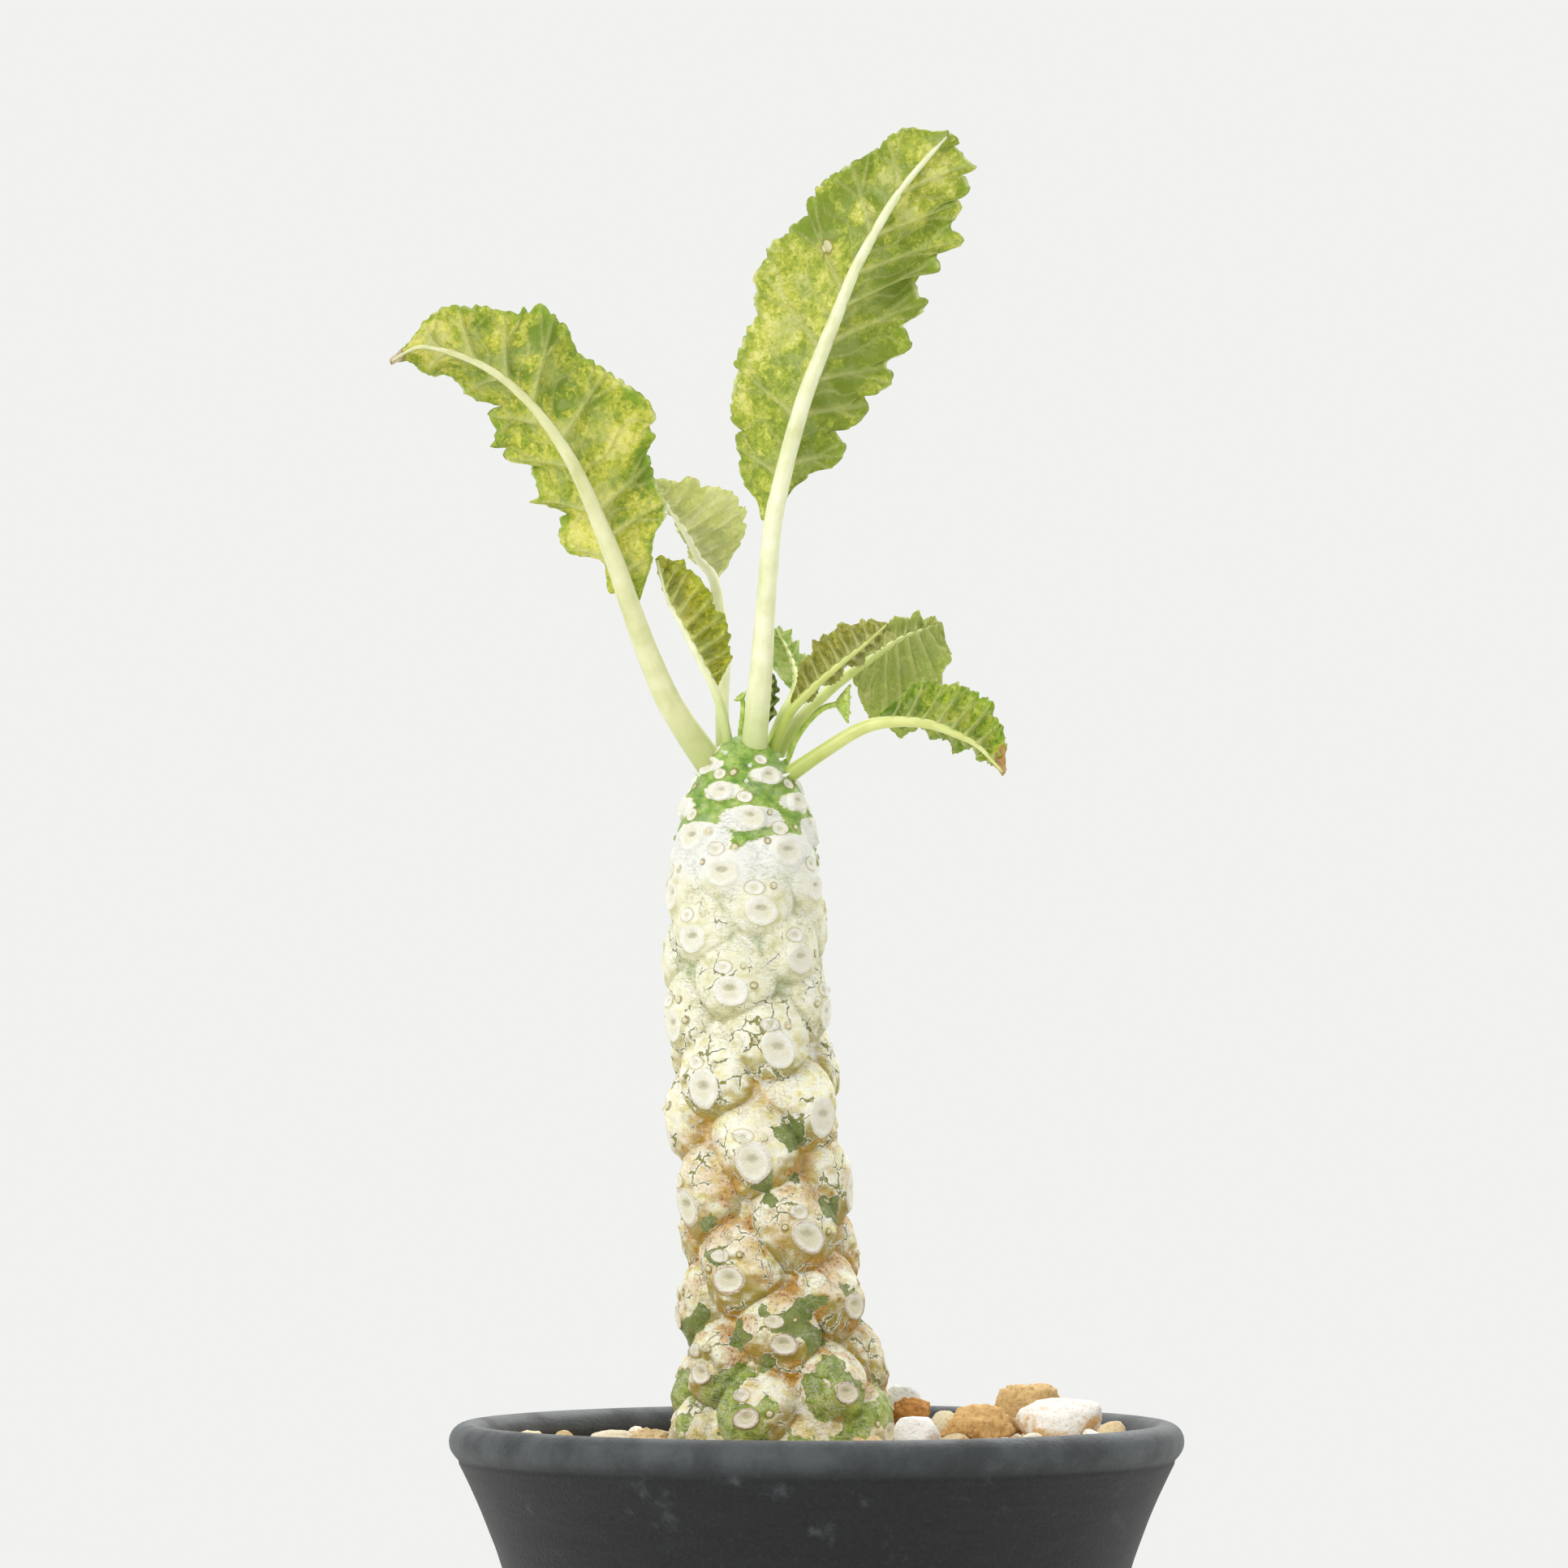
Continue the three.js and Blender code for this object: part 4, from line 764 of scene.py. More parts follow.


# The skin, from the crown down: glossy green with a pale bloom under white pads; chalky white; cream,
# tan and rusty in the hollows, split by green cracks into plates, some of them gone; and green under a
# web of scurf at the foot. Each scar is a pale disc with a thin raised rim and a soft olive dimple.
# Shade is painted into the chalky and cream skin where it faces down.
def dorstenia_skin():
    skin = bare_material("dorstenia_skin")
    place = add(skin, "TexCoord").outputs["Object"]
    height = add(skin, "SeparateXYZ", {0: place}).outputs["Z"]
    scar = add(skin, "Attribute", attribute_name="scar").outputs["Vector"]
    rho, from_dimple, chance = add(skin, "SeparateXYZ", {0: scar}).outputs
    small, nub, cushion, hang, from_pad = [
        add(skin, "Attribute", attribute_name=field).outputs["Fac"]
        for field in ("flower_scar", "nub", "cushion", "hang", "from_pad")
    ]
    lumps = {}
    for pattern, (size, detail, flatness, roughness) in SKIN_LUMPS.items():
        squashed = add(skin, "Mapping", {"Vector": place, "Scale": (1, 1, flatness)})
        lumps[pattern] = mottling(skin, squashed, size * MM, detail, roughness)
    fine, soft, broad = lumps["fine"], lumps["soft"], lumps["broad"]
    uneven = plus(skin, height, (broad, 9 * MM))
    bare = where_all(skin, (rho, 0.98, 1.08))

    # Old skin lies in plates about 2.7 mm wide. Each is kept or lost by chance, more of them low down.
    moved = drifting(skin, place, lumps["drift"], 2.6 * MM)
    plate = cells(skin, moved, 2.7 * MM)
    border = cells(skin, moved, 2.7 * MM, feature="DISTANCE_TO_EDGE")
    inner = cells(skin, moved, 1.15 * MM, feature="DISTANCE_TO_EDGE")
    plate_chance = add(skin, "SeparateXYZ", {0: plate.outputs["Color"]}).outputs["X"]
    plate_height = add(skin, "SeparateXYZ", {0: plate.outputs["Position"]}).outputs["Z"]
    cluster = mottling(skin, plate.outputs["Position"], 5.5 * MM, 1.0)
    luck = plus(skin, cluster, (plate_chance, 0.3))
    wear = ramp(
        skin, plus(skin, -76 / 90, (plate_height, 1 / (90 * MM))),
        (0.01, "#dadada"), (0.07, "#d2d2d2"), (0.1, "#c6c6c6"), (0.15, "#bebebe"), (0.48, "#b0b0b0"),
        (0.56, "#5a5a5a"), (0.7, "#000000"),
    )
    spared = add(skin, "Math", {0: luck, 1: wear}, operation="SUBTRACT")
    lost = where_all(skin, (spared, 0.0, -0.01))

    # White wax with hair-thin lines in it, with painted shade in grey on its undersides, and olive in its
    # creases.
    thread = from_middle(skin, lumps["threads"])
    thread = where_all(skin, (thread, 0.014, 0.0), (cushion, 0.8, 0.3, 0.15, 1.0))
    chalk = ramp(skin, soft, (0.28, "#d6d29c"), (0.4, "#ece8c2"), (0.52, "#f5f3d6"), (0.72, "#fcfaec"))
    # Painted shade: greyer where the skin faces down.
    chalk = stained(skin, chalk, "#d3cf9f", (hang, 0.05, 0.7), 0.75)
    chalk = stained(skin, chalk, "#9fac74", (cushion, 0.36, 0.1), (broad, 0.42, 0.6), 0.7)
    chalk = stained(skin, chalk, "#a9ad84", thread, 0.4)

    # Old cream skin, with painted shade in olive and gold on its undersides, and ochre and rusty in the
    # hollows.
    cream = ramp(skin, soft, (0.25, "#d8ca6c"), (0.34, "#eee49c"), (0.44, "#faf4ca"), (0.54, "#fffde8"))
    # Painted shade: olive to gold where the skin faces down.
    painted_underside_shade = ramp(skin, fine, (0.3, "#85792a"), (0.5, "#ad9f48"), (0.7, "#d6c87e"))
    cream = stained(skin, cream, painted_underside_shade, (hang, -0.1, 0.55), (broad, 0.34, 0.52, 0.3, 0.95))
    cream = stained(skin, cream, "#b9a552", (fine, 0.52, 0.66), (broad, 0.4, 0.6, 0.1, 0.45))
    aged_tint_and_shade = where_all(skin, (uneven, 120 * MM, 98 * MM), (soft, 0.66, 0.44, 0.45, 1.0))
    aged_tint_and_shade = where_all(skin, aged_tint_and_shade, (height, 76 * MM, 86 * MM, 0.3, 1.0))
    # Ochre on aged skin, mostly where the skin faces down: a real tint with painted shade in it.
    cream = stained(skin, cream, "#a8942e", aged_tint_and_shade, (hang, -0.3, 0.3, 0.06, 0.9))
    cream = stained(skin, cream, "#fffdee", thread, 0.5)
    above_foot = where_all(skin, (height, 78 * MM, 86 * MM, 0.15, 1.0))
    cream = stained(skin, cream, "#d0a63a", (cushion, 0.45, 0.05), (broad, 0.4, 0.62, 0.0, 0.75), above_foot)
    rust = where_all(skin, (lumps["rust"], 0.44, 0.56), (uneven, 126 * MM, 110 * MM))
    rust = where_all(skin, rust, (cushion, 0.9, 0.3, 0.35, 1.0), above_foot)
    cream = stained(skin, cream, "#d09428", rust, 0.66)
    cream = stained(skin, cream, "#8a4210", rust, (lumps["specks"], 0.53, 0.6), 0.9)

    # Green flesh where a plate is lost, dulled by a bloom, and under a web of scurf at the foot.
    green = ramp(skin, soft, (0.3, "#5f761e"), (0.45, "#88a034"), (0.62, "#b4c25c"))
    dusty = (uneven, 84 * MM, 94 * MM, 0.25, 0.6)
    green = stained(skin, green, "#abac80", (lumps["bloom"], 0.45, 0.62), dusty)
    green = stained(skin, green, "#6e7a38", (uneven, 85 * MM, 96 * MM), 0.75)
    scurf = where_all(skin, (from_middle(skin, lumps["web"]), 0.035, 0.0), (lumps["scurf"], 0.4, 0.55))
    green = stained(skin, green, "#e4e6d0", scurf, (uneven, 94 * MM, 84 * MM, 0.5, 0.85))

    # Splits that gape between plates, and finer crazing inside them.
    active = where_all(skin, (lumps["splits"], 0.45, 0.6), (uneven, 150 * MM, 136 * MM))
    gape = where_all(skin, active, (fine, 0.3, 0.7, 0.3, 1.0), 0.065)
    from_split = add(skin, "Math", {0: border, 1: gape}, operation="SUBTRACT")
    split = where_all(skin, (from_split, 0.012, -0.02), (active, 0.05, 0.4))
    crazed = where_all(skin, (inner, 0.035, 0.0), (lumps["crazing"], 0.54, 0.66))
    crazed = where_all(skin, crazed, (uneven, 146 * MM, 118 * MM, 0.35, 1.0), 0.7)
    cracks = add(skin, "Math", {0: split, 1: crazed}, operation="MAXIMUM")
    cracks = where_all(skin, cracks, bare, (cushion, 0.1, 0.3, 0.3, 1.0))

    body = stained(skin, cream, chalk, (uneven, 124 * MM, 137 * MM))
    body = stained(skin, body, "#fffdf2", (border, 0.12, 0.05), active)
    body = stained(skin, body, "#86851c", cracks, 0.95)
    body = stained(skin, body, green, lost)

    # The young green crown, and the ragged white pad round each scar, which spreads further down it.
    crown = ramp(skin, soft, (0.3, "#628f2e"), (0.5, "#90b346"), (0.7, "#c2d478"))
    crown = stained(skin, crown, "#b4c4a6", (lumps["crown"], 0.5, 0.66), 0.35)
    fringe = plus(skin, from_pad, (lumps["fringe"], 0.9))
    pad_reach = where_all(skin, (uneven, 160 * MM, 146 * MM, 0.98, 3.4))
    outside_pad = add(skin, "Math", {0: fringe, 1: pad_reach}, operation="SUBTRACT")
    fresh = where_all(skin, (outside_pad, 0.0, 0.12), (uneven, 146 * MM, 151 * MM))
    body = stained(skin, body, crown, fresh)
    body = stained(skin, body, "#f8f7ee", (outside_pad, 0.0, -0.2), (uneven, 146 * MM, 152 * MM))

    # Small cream knobs in brown rings.
    knob = ramp(skin, fine, (0.35, "#c9ad62"), (0.5, "#ece6c4"))
    body = stained(skin, body, "#8b7a3c", (nub, 0.56, 0.36), (broad, 0.42, 0.56, 0.2, 0.85))
    body = stained(skin, body, knob, (nub, 0.36, 0.22))

    # Leaf scars, cream with an olive smudge and browner rims low down, and the flower scars above them.
    disc = ramp(skin, soft, (0.3, "#ece9d2"), (0.5, "#f6f4e6"), (0.7, "#fdfcf6"))
    low = where_all(skin, (height, 124 * MM, 92 * MM))
    disc = stained(skin, disc, "#e6dfbe", (rho, 0.84, 0.45), (low, 0.0, 1.0, 0.4, 0.85))
    rim = where_all(skin, low, (rho, 0.78, 0.92), (rho, 1.05, 0.96, 0.3, 1.0))
    disc = stained(skin, disc, "#b58a58", rim, (chance, 0.3, 0.7, 0.1, 1.0), (fine, 0.35, 0.6, 0.2, 0.85))
    smudge = plus(skin, from_dimple, (fine, 0.3))
    disc = stained(skin, disc, "#a09b6c", (smudge, 0.42, 0.16), (chance, 0.1, 0.9, 0.2, 0.65))
    body = stained(skin, body, "#a79c66", (rho, 1.0, 1.06), (rho, 1.2, 1.06), (low, 0.0, 1.0, 0.1, 0.45))
    body = stained(skin, body, disc, (rho, 1.04, 0.98))
    small_disc = stained(skin, disc, "#d4cba0", (small, 0.6, 0.2, 0.0, 0.6))
    body = stained(skin, body, "#b09c62", (small, 0.92, 1.0), (small, 1.2, 1.0), 0.6)
    body = stained(skin, body, small_disc, (small, 0.98, 0.88))

    # Green flesh shines a little. Cracks and lost plates lie deeper than the skin.
    glossy = add(skin, "Math", {0: lost, 1: fresh}, operation="MAXIMUM")
    glossy = where_all(skin, glossy, bare, (scurf, 0.6, 0.0, 0.3, 1.0))
    rough = add(skin, "MapRange", {0: glossy, 3: 0.68, 4: 0.36})
    fallen = where_all(skin, lost, bare)
    heights = plus(skin, fine, (cracks, -0.8), (fallen, -1.4), (thread, -0.3), (lumps["grain"], 0.5))
    return finished(skin, {
        "Base Color": body, "Roughness": rough, "Normal": bumps(skin, heights, 1.0, 0.22 * MM),
        "Subsurface Weight": 0.1, "Subsurface Radius": (1.0, 0.8, 0.4), "Subsurface Scale": 0.7 * MM,
    })


# Leaf spines at the crown: short, stiff and white, on flared bases.
def spine_horn():
    horn = bare_material("spine_horn")
    place = add(horn, "TexCoord").outputs["Object"]
    colour = ramp(horn, mottling(horn, place, 0.4 * MM), (0.35, "#e9ead9"), (0.6, "#fbfbf6"))
    return finished(horn, {"Base Color": colour, "Roughness": 0.6})


def stem_point(turn, z, radius):
    """A point at a turn, height and distance from the stem's leaning axis."""
    return np.stack([through(STEM_AXIS_X, z) + radius * np.sin(turn), -radius * np.cos(turn), z], axis=-1)


def stem_heights():
    """Heights of the rows of the skin, evenly spaced along its outline."""
    fine = np.linspace(STEM_FOOT, STEM_TIP, 4000)
    weight = np.where(fine < BURIED_BELOW, BURIED_SHARE, 1)
    walked = np.cumsum(weight * np.hypot(np.gradient(fine), np.gradient(through(STEM_RADIUS, fine))))
    return np.interp(np.linspace(walked[0], walked[-1], STEM_ROWS), walked, fine)


def end_caps(rows, columns):
    """One face over the first and one over the last ring of points of a grid."""
    return [list(range(columns))[::-1], list(range((rows - 1) * columns, rows * columns))]


turn, z = np.meshgrid(np.arange(STEM_COLUMNS) * 2 * np.pi / STEM_COLUMNS, stem_heights())
radius, fields = stem_skin(turn, z)
# How far the skin faces down; the skin's colours paint shade on the undersides with it.
fields["hang"] = np.gradient(radius, axis=0) / np.gradient(z, axis=0)  # more than 0 on undersides
points = stem_point(turn, z, radius).reshape(-1, 3)
fields = {name: field.reshape(-1, 3) if field.ndim == 3 else field.ravel() for name, field in fields.items()}
faces = grid_faces(STEM_ROWS, STEM_COLUMNS, closed=True) + end_caps(STEM_ROWS, STEM_COLUMNS)
stem = mesh_piece("stem_skin", points, faces, dorstenia_skin(), fields)

directions, spine_faces = ball(3)
spines = []
for degrees, spine_z in SPINES:
    spot_turn, spot_z = np.array([math.radians(degrees)]), np.array([float(spine_z)])
    spot_radius = stem_skin(spot_turn, spot_z)[0]
    root = stem_point(spot_turn, spot_z, spot_radius)[0]
    outward = Vector((math.sin(spot_turn[0]), -math.cos(spot_turn[0]), SPINE_LIFT)).normalized()
    stand = np.array(outward.to_track_quat("Z", "Y").to_matrix())
    rise = directions[:, 2:]
    narrowed = directions[:, :2] * SPINE_RADIUS * (1 - rise) ** SPINE_TAPER
    horn = np.concatenate([narrowed, SPINE_HALF_LENGTH * rise], axis=1)
    spines.append(horn @ stand.T + root)
spines = mesh_piece("stem_spines", *gathered(spines, spine_faces), spine_horn())
for piece in (stem, spines):
    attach(piece, "root")
    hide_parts("stem")


# Leaves
# Nine leathery leaves on round stalks that rise from the crown. Each half of a blade puckers between
# its side veins, which stand out as ridges on the underside that faces the front, and runs out into
# small crooked teeth. The green is broken by a mosaic of yellow and cream flecks and drifts.
BLADE_ENDS = (0.012, 0.985)
BLADE_THICKNESS = 0.5
BLADE_ARCH = 0.5
BLADE_WAVES = 4.5
RIPPLE = 0.5
RIB_STEP = 0.01
LEAN_FULLNESS = 0.6
TAPER_IN = 7
TAPER_OUT = 9
TEETH_FROM = 0.66
TOOTH_LEAN = 0.72
TOOTH_MIDDLE = 0.6
TOOTH_ROOT = 0.7
TOOTH_REACH = 0.3
CRINKLE_SPACING = 1.4
CRINKLE_FROM = 0.88
MARGIN_STEPS = 701
MARGIN_BEYOND = 0.2
MARGIN_SOFTENING = 71
FAR_FROM_VEINS = 99
VEIN_SWEEP = 0.85
FORKS = (-0.42, 0.42)
FORKS_FROM = 0.5
FORK_SPREAD = 1.6
CROSS_SWAY = 0.25
VEIN_HALF = 0.3
VEIN_FOOT_HALF = 0.42
SMALL_VEINS = 0.6
LARGE_LEAF_ROWS = 40
VEIN_SINK = 0.4
VEIN_RELIEF = 0.1
PUFF_FULLNESS = 0.7
LUMPS = [(0.3, 2.6, 31), (0.14, 1.1, 32)]
MOSAIC = [(0.3, 4.5, 33), (0.22, 1.7, 34)]
PATCH_RAGGED = 0.35
BLEMISH_NARROW = 1.5
BLEMISH_RAGGED = 0.7
VEIN_GAP = 7
STREAK_STRETCH = 0.35
NO_BLEMISH = (99, 99, 1, "#b09544", "#f6f1c8")
STALK_SIDES = 22
STALK_HEEL = 0.18
HEEL_REACH = 0.12
STALK_ROUND = 1.2

# A leaf has its rib (x, y, z), the number of the rib's point where the blade starts, and the stalk's
# radius along the rib. Each half has its margin as seen from the front (x, z), how far it leans back,
# and how yellow it is from foot to tip. The two large leaves have every tooth in the margin and their
# own side veins, as shares of the rib and of the margin. The others have evenly cut teeth, as a count
# and a depth, and even side veins. Patches are a place (x, z), a reach and a change of yellow; a
# blemish is a place (x, z), a size and the colours of its ring and middle. The greens run from deep
# green through yellow to cream, and the last is the rim's own.
LEAVES = {
    "leaf_upright": {
        "rib": [
            (-7.9, -1.5, 158.6), (-6.9, -4.2, 169.4), (-6.2, -5.6, 178.4), (-5.4, -6.8, 187.8),
            (-4.4, -7.4, 192.9), (-3, -8, 198.4), (-1.4, -8.6, 203.8), (0.5, -9.2, 208.8),
            (2.5, -9.7, 213.7), (4.5, -10.1, 218.7), (6.9, -10.4, 223.3), (9.7, -10.5, 228),
            (13.1, -10.5, 232.3), (16.6, -10.3, 236.1),
        ],
        "blade_from": 3,
        "stalk": [
            (0, 1.45), (0.08, 1.4), (0.16, 1.2), (0.26, 1.12), (0.36, 1.05), (0.45, 1.0), (0.58, 0.86),
            (0.66, 0.72), (0.77, 0.6), (0.83, 0.52), (0.93, 0.32), (1, 0.12),
        ],
        "left": {
            "back": 5,
            "edge": [
                (-6.6, 187.8), (-7.1, 190.7), (-8, 192), (-9, 193.1), (-9.7, 195.3), (-9.6, 196.6),
                (-9.9, 198), (-9.8, 199.6), (-9, 199.8), (-10.1, 200.8), (-10.2, 203.4), (-9.9, 204.9),
                (-9.7, 206.3), (-9.1, 207.4), (-10, 207.9), (-9.5, 210.3), (-8.8, 212.6), (-7.6, 214),
                (-7.9, 216), (-7.4, 216.6), (-7.3, 217.7), (-7.6, 218.3), (-6.9, 219.3), (-5.8, 220.9),
                (-5.7, 222.1), (-4.9, 223.3), (-3.9, 223.7), (-2.9, 225.3), (-1.3, 226.5), (-1.5, 228),
                (-0.1, 228.6), (0.2, 229.4), (2.1, 230.6), (4, 232.1), (6.2, 233.8), (7.4, 234.5),
                (9.7, 235.7), (11.8, 236.4), (14.3, 236.2), (16.1, 236.3), (16.9, 236.4),
            ],
            "veins": [(0.12, 0.16), (0.25, 0.33), (0.41, 0.53), (0.55, 0.67), (0.7, 0.8), (0.82, 0.88)],
            "yellow": [0.35, 0.45, 0.62, 0.66, 0.5, 0.42, 0.62, 0.6],
        },
        "right": {
            "back": 4,
            "edge": [
                (-3.5, 192.3), (-2.4, 193.6), (-1.2, 193.8), (-1, 194.8), (0.3, 195), (1.7, 195.3),
                (2.7, 196.6), (3.2, 198.2), (2, 199.9), (3.7, 199.8), (5.4, 200.7), (6.6, 202.4),
                (5.9, 204), (7.2, 204.2), (8.6, 205.2), (9.2, 206.6), (8.1, 208.3), (9.8, 209.1),
                (10.9, 209.6), (11.5, 210.7),
                (10.6, 212.7), (12, 213.6), (13.1, 214.4), (13.5, 215.6), (12.7, 216.5), (12.4, 217.3),
                (13, 219.2), (11.8, 219.4), (14.4, 219.3), (14.9, 219.7), (14.5, 221.5), (15.9, 221.9),
                (17.7, 222.9), (16.4, 224.9), (17.2, 225.5), (18, 227.2), (16.9, 228.2), (18, 228.2),
                (18.8, 229.6), (18.1, 230.7), (17.3, 230.9), (18.7, 231.4), (19.2, 232.1), (17.9, 233.1),
                (17.8, 233.7), (17, 234.3), (17.6, 234.6), (17.2, 235.4), (16.5, 235.8), (16.9, 236.4),
            ],
            "veins": [
                (0.15, 0.12), (0.26, 0.26), (0.34, 0.36), (0.43, 0.52), (0.52, 0.63), (0.6, 0.72), (0.7, 0.8),
                (0.81, 0.92),
            ],
            "yellow": [0.35, 0.25, 0.2, 0.22, 0.3, 0.3, 0.36, 0.62, 0.6, 0.5],
        },
        "patches": [
            (0.2, 225.6, 3.0, -0.7), (3.2, 229, 2.5, -0.4), (5.7, 226.3, 1.5, 0.6), (9.3, 230.4, 1.7, 0.6),
            (11, 226, 2.2, 0.5), (14.5, 232, 2.2, 0.3), (-6.5, 211, 3.4, 0.3), (9.5, 216.5, 2.6, -0.3),
        ],
        "blemish": (1.2, 221.9, 1.25, "#b09544", "#f6f1c8"),
        "columns": 240, "rows": 50, "ripple": 0.7, "pucker": 0.75,
        "greens": ("#8ea236", "#a8b846", "#c0ca50", "#dcdc62", "#f3f09c", "#93b032"),
    },
    "leaf_arching": {
        "rib": [
            (-12, -0.4, 157.4), (-17.7, -2.6, 165.8), (-20.9, -4.2, 172.9), (-23.1, -5.4, 178.9),
            (-24.6, -6.2, 183.3), (-26.4, -6.8, 187.8), (-28.2, -7.4, 192.1), (-30.3, -7.9, 196.3),
            (-32.9, -8.3, 200.2), (-36, -8.5, 203.8), (-39.7, -8.5, 206.8), (-43.9, -8.4, 208.8),
            (-48.6, -8.2, 209.8), (-52.8, -7.8, 207.7),
        ],
        "blade_from": 3,
        "stalk": [
            (0, 1.65), (0.1, 1.5), (0.2, 1.3), (0.27, 1.23), (0.34, 1.15), (0.41, 1.0), (0.54, 0.8),
            (0.65, 0.6), (0.76, 0.48), (0.86, 0.35), (1, 0.12),
        ],
        "left": {
            "back": 8,
            "edge": [
                (-24, 178.9), (-24.7, 179.9), (-25.4, 180.1), (-26.1, 182.8), (-26.9, 184), (-30.3, 184.6),
                (-31, 185.4), (-31.6, 186.3), (-31.6, 187.6), (-31.3, 189.5), (-30.5, 190.1), (-32.4, 191),
                (-34.7, 191.5), (-34.2, 192.2), (-35.4, 194), (-35.9, 195.1), (-35.5, 195.6), (-37.4, 196.2),
                (-38.1, 197.2), (-37.9, 198.3), (-39.8, 198.5), (-39.2, 199.5), (-40.6, 201.4),
                (-40.7, 202.2), (-39.2, 202.9), (-41.1, 204.3), (-43.8, 205.7), (-47.4, 206.4),
                (-46.8, 207.1), (-48.8, 208.1), (-49.9, 208.3), (-52.8, 207.6),
            ],
            "veins": [(0.12, 0.2), (0.25, 0.38), (0.38, 0.52), (0.52, 0.66), (0.68, 0.78), (0.84, 0.9)],
            "yellow": [0.6, 0.78, 0.62, 0.6, 0.55, 0.5, 0.6, 0.6],
        },
        "right": {
            "back": 4,
            "edge": [
                (-22, 178.3), (-21.8, 178.6), (-20.3, 183.3), (-20.4, 184.7), (-20.1, 187.1), (-18.8, 189.3),
                (-19, 191.5), (-20.3, 195.9), (-20.7, 197.5), (-19.9, 199), (-20.7, 200.5), (-19.9, 201.3),
                (-21, 203.5), (-22.9, 205.2), (-25, 206.7), (-27.1, 208.4), (-28.9, 209.5), (-30, 211),
                (-30.8, 212.5), (-32.3, 213.3), (-33.7, 214.8), (-34.1, 215.3), (-34.7, 215), (-35.3, 214.3),
                (-36.1, 214.9), (-36.6, 214.2), (-38.6, 214.6), (-40.2, 215.2), (-41, 215.4),
                (-44.3, 214.7), (-46.4, 214.2), (-48, 213), (-49.5, 211.5), (-51, 209.9), (-51.8, 208.8),
                (-52.8, 207.6),
            ],
            "veins": [
                (0.075, 0.09), (0.17, 0.2), (0.24, 0.27), (0.45, 0.49), (0.57, 0.63), (0.66, 0.74),
                (0.76, 0.83), (0.86, 0.9),
            ],
            "yellow": [0.5, 0.55, 0.55, 0.6, 0.62, 0.42, 0.45, 0.72, 0.5, 0.7],
        },
        "patches": [
            (-20.5, 196.5, 2.2, -0.7), (-33.5, 211.5, 2.0, -0.6), (-31, 204, 2.4, -0.3),
            (-24.5, 199, 2.4, 0.35),
            (-27, 190.5, 2.5, 0.3), (-47.5, 210.5, 3.4, 0.4), (-41, 212.5, 1.6, -0.35), (-38, 212, 3, 0.3),
            (-28.3, 188, 2.0, 0.4),
        ],
        "blemish": (-51.3, 208.6, 1.5, "#a9895c", "#ecd9c0"),
        "columns": 240, "rows": 48, "ripple": 0.8, "pucker": 0.8,
        "stalk_tint": "#f0efde",
        "greens": ("#86a030", "#adba44", "#c9ce4e", "#e0dd5e", "#f2ed90", "#8fb52f"),
    },
    "leaf_young_left": {
        "rib": [
            (-10.7, -1, 160.6), (-11.5, -1.4, 164.7), (-12.5, -1.7, 168), (-14.4, -2, 171.8),
            (-16.4, -2.3, 175.6), (-18.4, -2.5, 179.5), (-19.7, -2.7, 184.5),
        ],
        "blade_from": 2, "stalk": [(0, 0.64), (0.33, 0.55), (1, 0.16)],
        "left": {
            "back": 7, "teeth": (8, 0.4),
            "edge": [(-12.8, 168.1), (-11.2, 172.7), (-12.6, 176.8), (-15.6, 181.8), (-19.6, 184.4)],
            "yellow": [0.35, 0.45, 0.4],
        },
        "right": {
            "back": 2, "teeth": (8, 0.5),
            "edge": [(-12.2, 168.3), (-10.6, 172.9), (-12.1, 178.1), (-15.8, 183.1), (-19.5, 184.7)],
            "yellow": [0.35, 0.5, 0.4],
        },
        "side_veins": 9, "columns": 110, "rows": 26, "pucker": 0.7,
        "greens": ("#9ea828", "#c4c738", "#dedb4c", "#ebe666", "#f4ee94", "#bcc62c"),
    },
    "leaf_young_right": {
        "rib": [
            (-5.6, -0.8, 160.3), (-4, -2.2, 163.6), (-2.9, -3.4, 165.6), (-0.1, -4, 168.5),
            (3, -4.6, 171.2), (6, -5.2, 173.6), (8.8, -5.8, 176.1),
        ],
        "blade_from": 2, "stalk": [(0, 0.75), (0.33, 0.6), (1, 0.16)],
        "left": {
            "back": 2.5, "teeth": (8, 0.5),
            "edge": [(-3.2, 166.4), (-1.9, 170.8), (0.4, 174.1), (4.2, 176.1), (8.9, 176.2)],
            "yellow": [0.15, 0.2, 0.3],
        },
        "right": {
            "back": 6, "teeth": (8, 0.4),
            "edge": [(-2.6, 165.6), (0, 167.9), (3.6, 170.6), (6.7, 172.7), (8.9, 175.6)],
            "yellow": [0.2, 0.25, 0.2],
        },
        "side_veins": 9, "columns": 110, "rows": 26, "pucker": 0.6,
        "stalk_tint": "#dbe19c",
        "greens": ("#928f2e", "#b8b451", "#d5d26a", "#e6e389", "#f2efb4", "#c0c548"),
    },
    "leaf_right_drooping": {
        "rib": [
            (-4.4, -1.4, 156.9), (1.1, -3.2, 160.6), (4.9, -4.2, 162.9), (7.5, -4.9, 163.8),
            (10.7, -5.6, 164), (14, -6.2, 163.6), (17.1, -6.8, 162.4), (19.9, -7.2, 160.8),
            (23.2, -7.5, 157.3),
        ],
        "blade_from": 3, "stalk": [(0, 0.95), (0.35, 0.8), (0.7, 0.5), (1, 0.16)],
        "left": {
            "back": 3, "teeth": (8, 0.5),
            "edge": [(7.6, 164.8), (11.8, 168.3), (15.9, 168.7), (19.8, 167.5), (22.4, 164), (23.3, 157.6)],
            "yellow": [0.3, 0.4, 0.35],
        },
        "right": {
            "back": 7, "teeth": (8, 0.5),
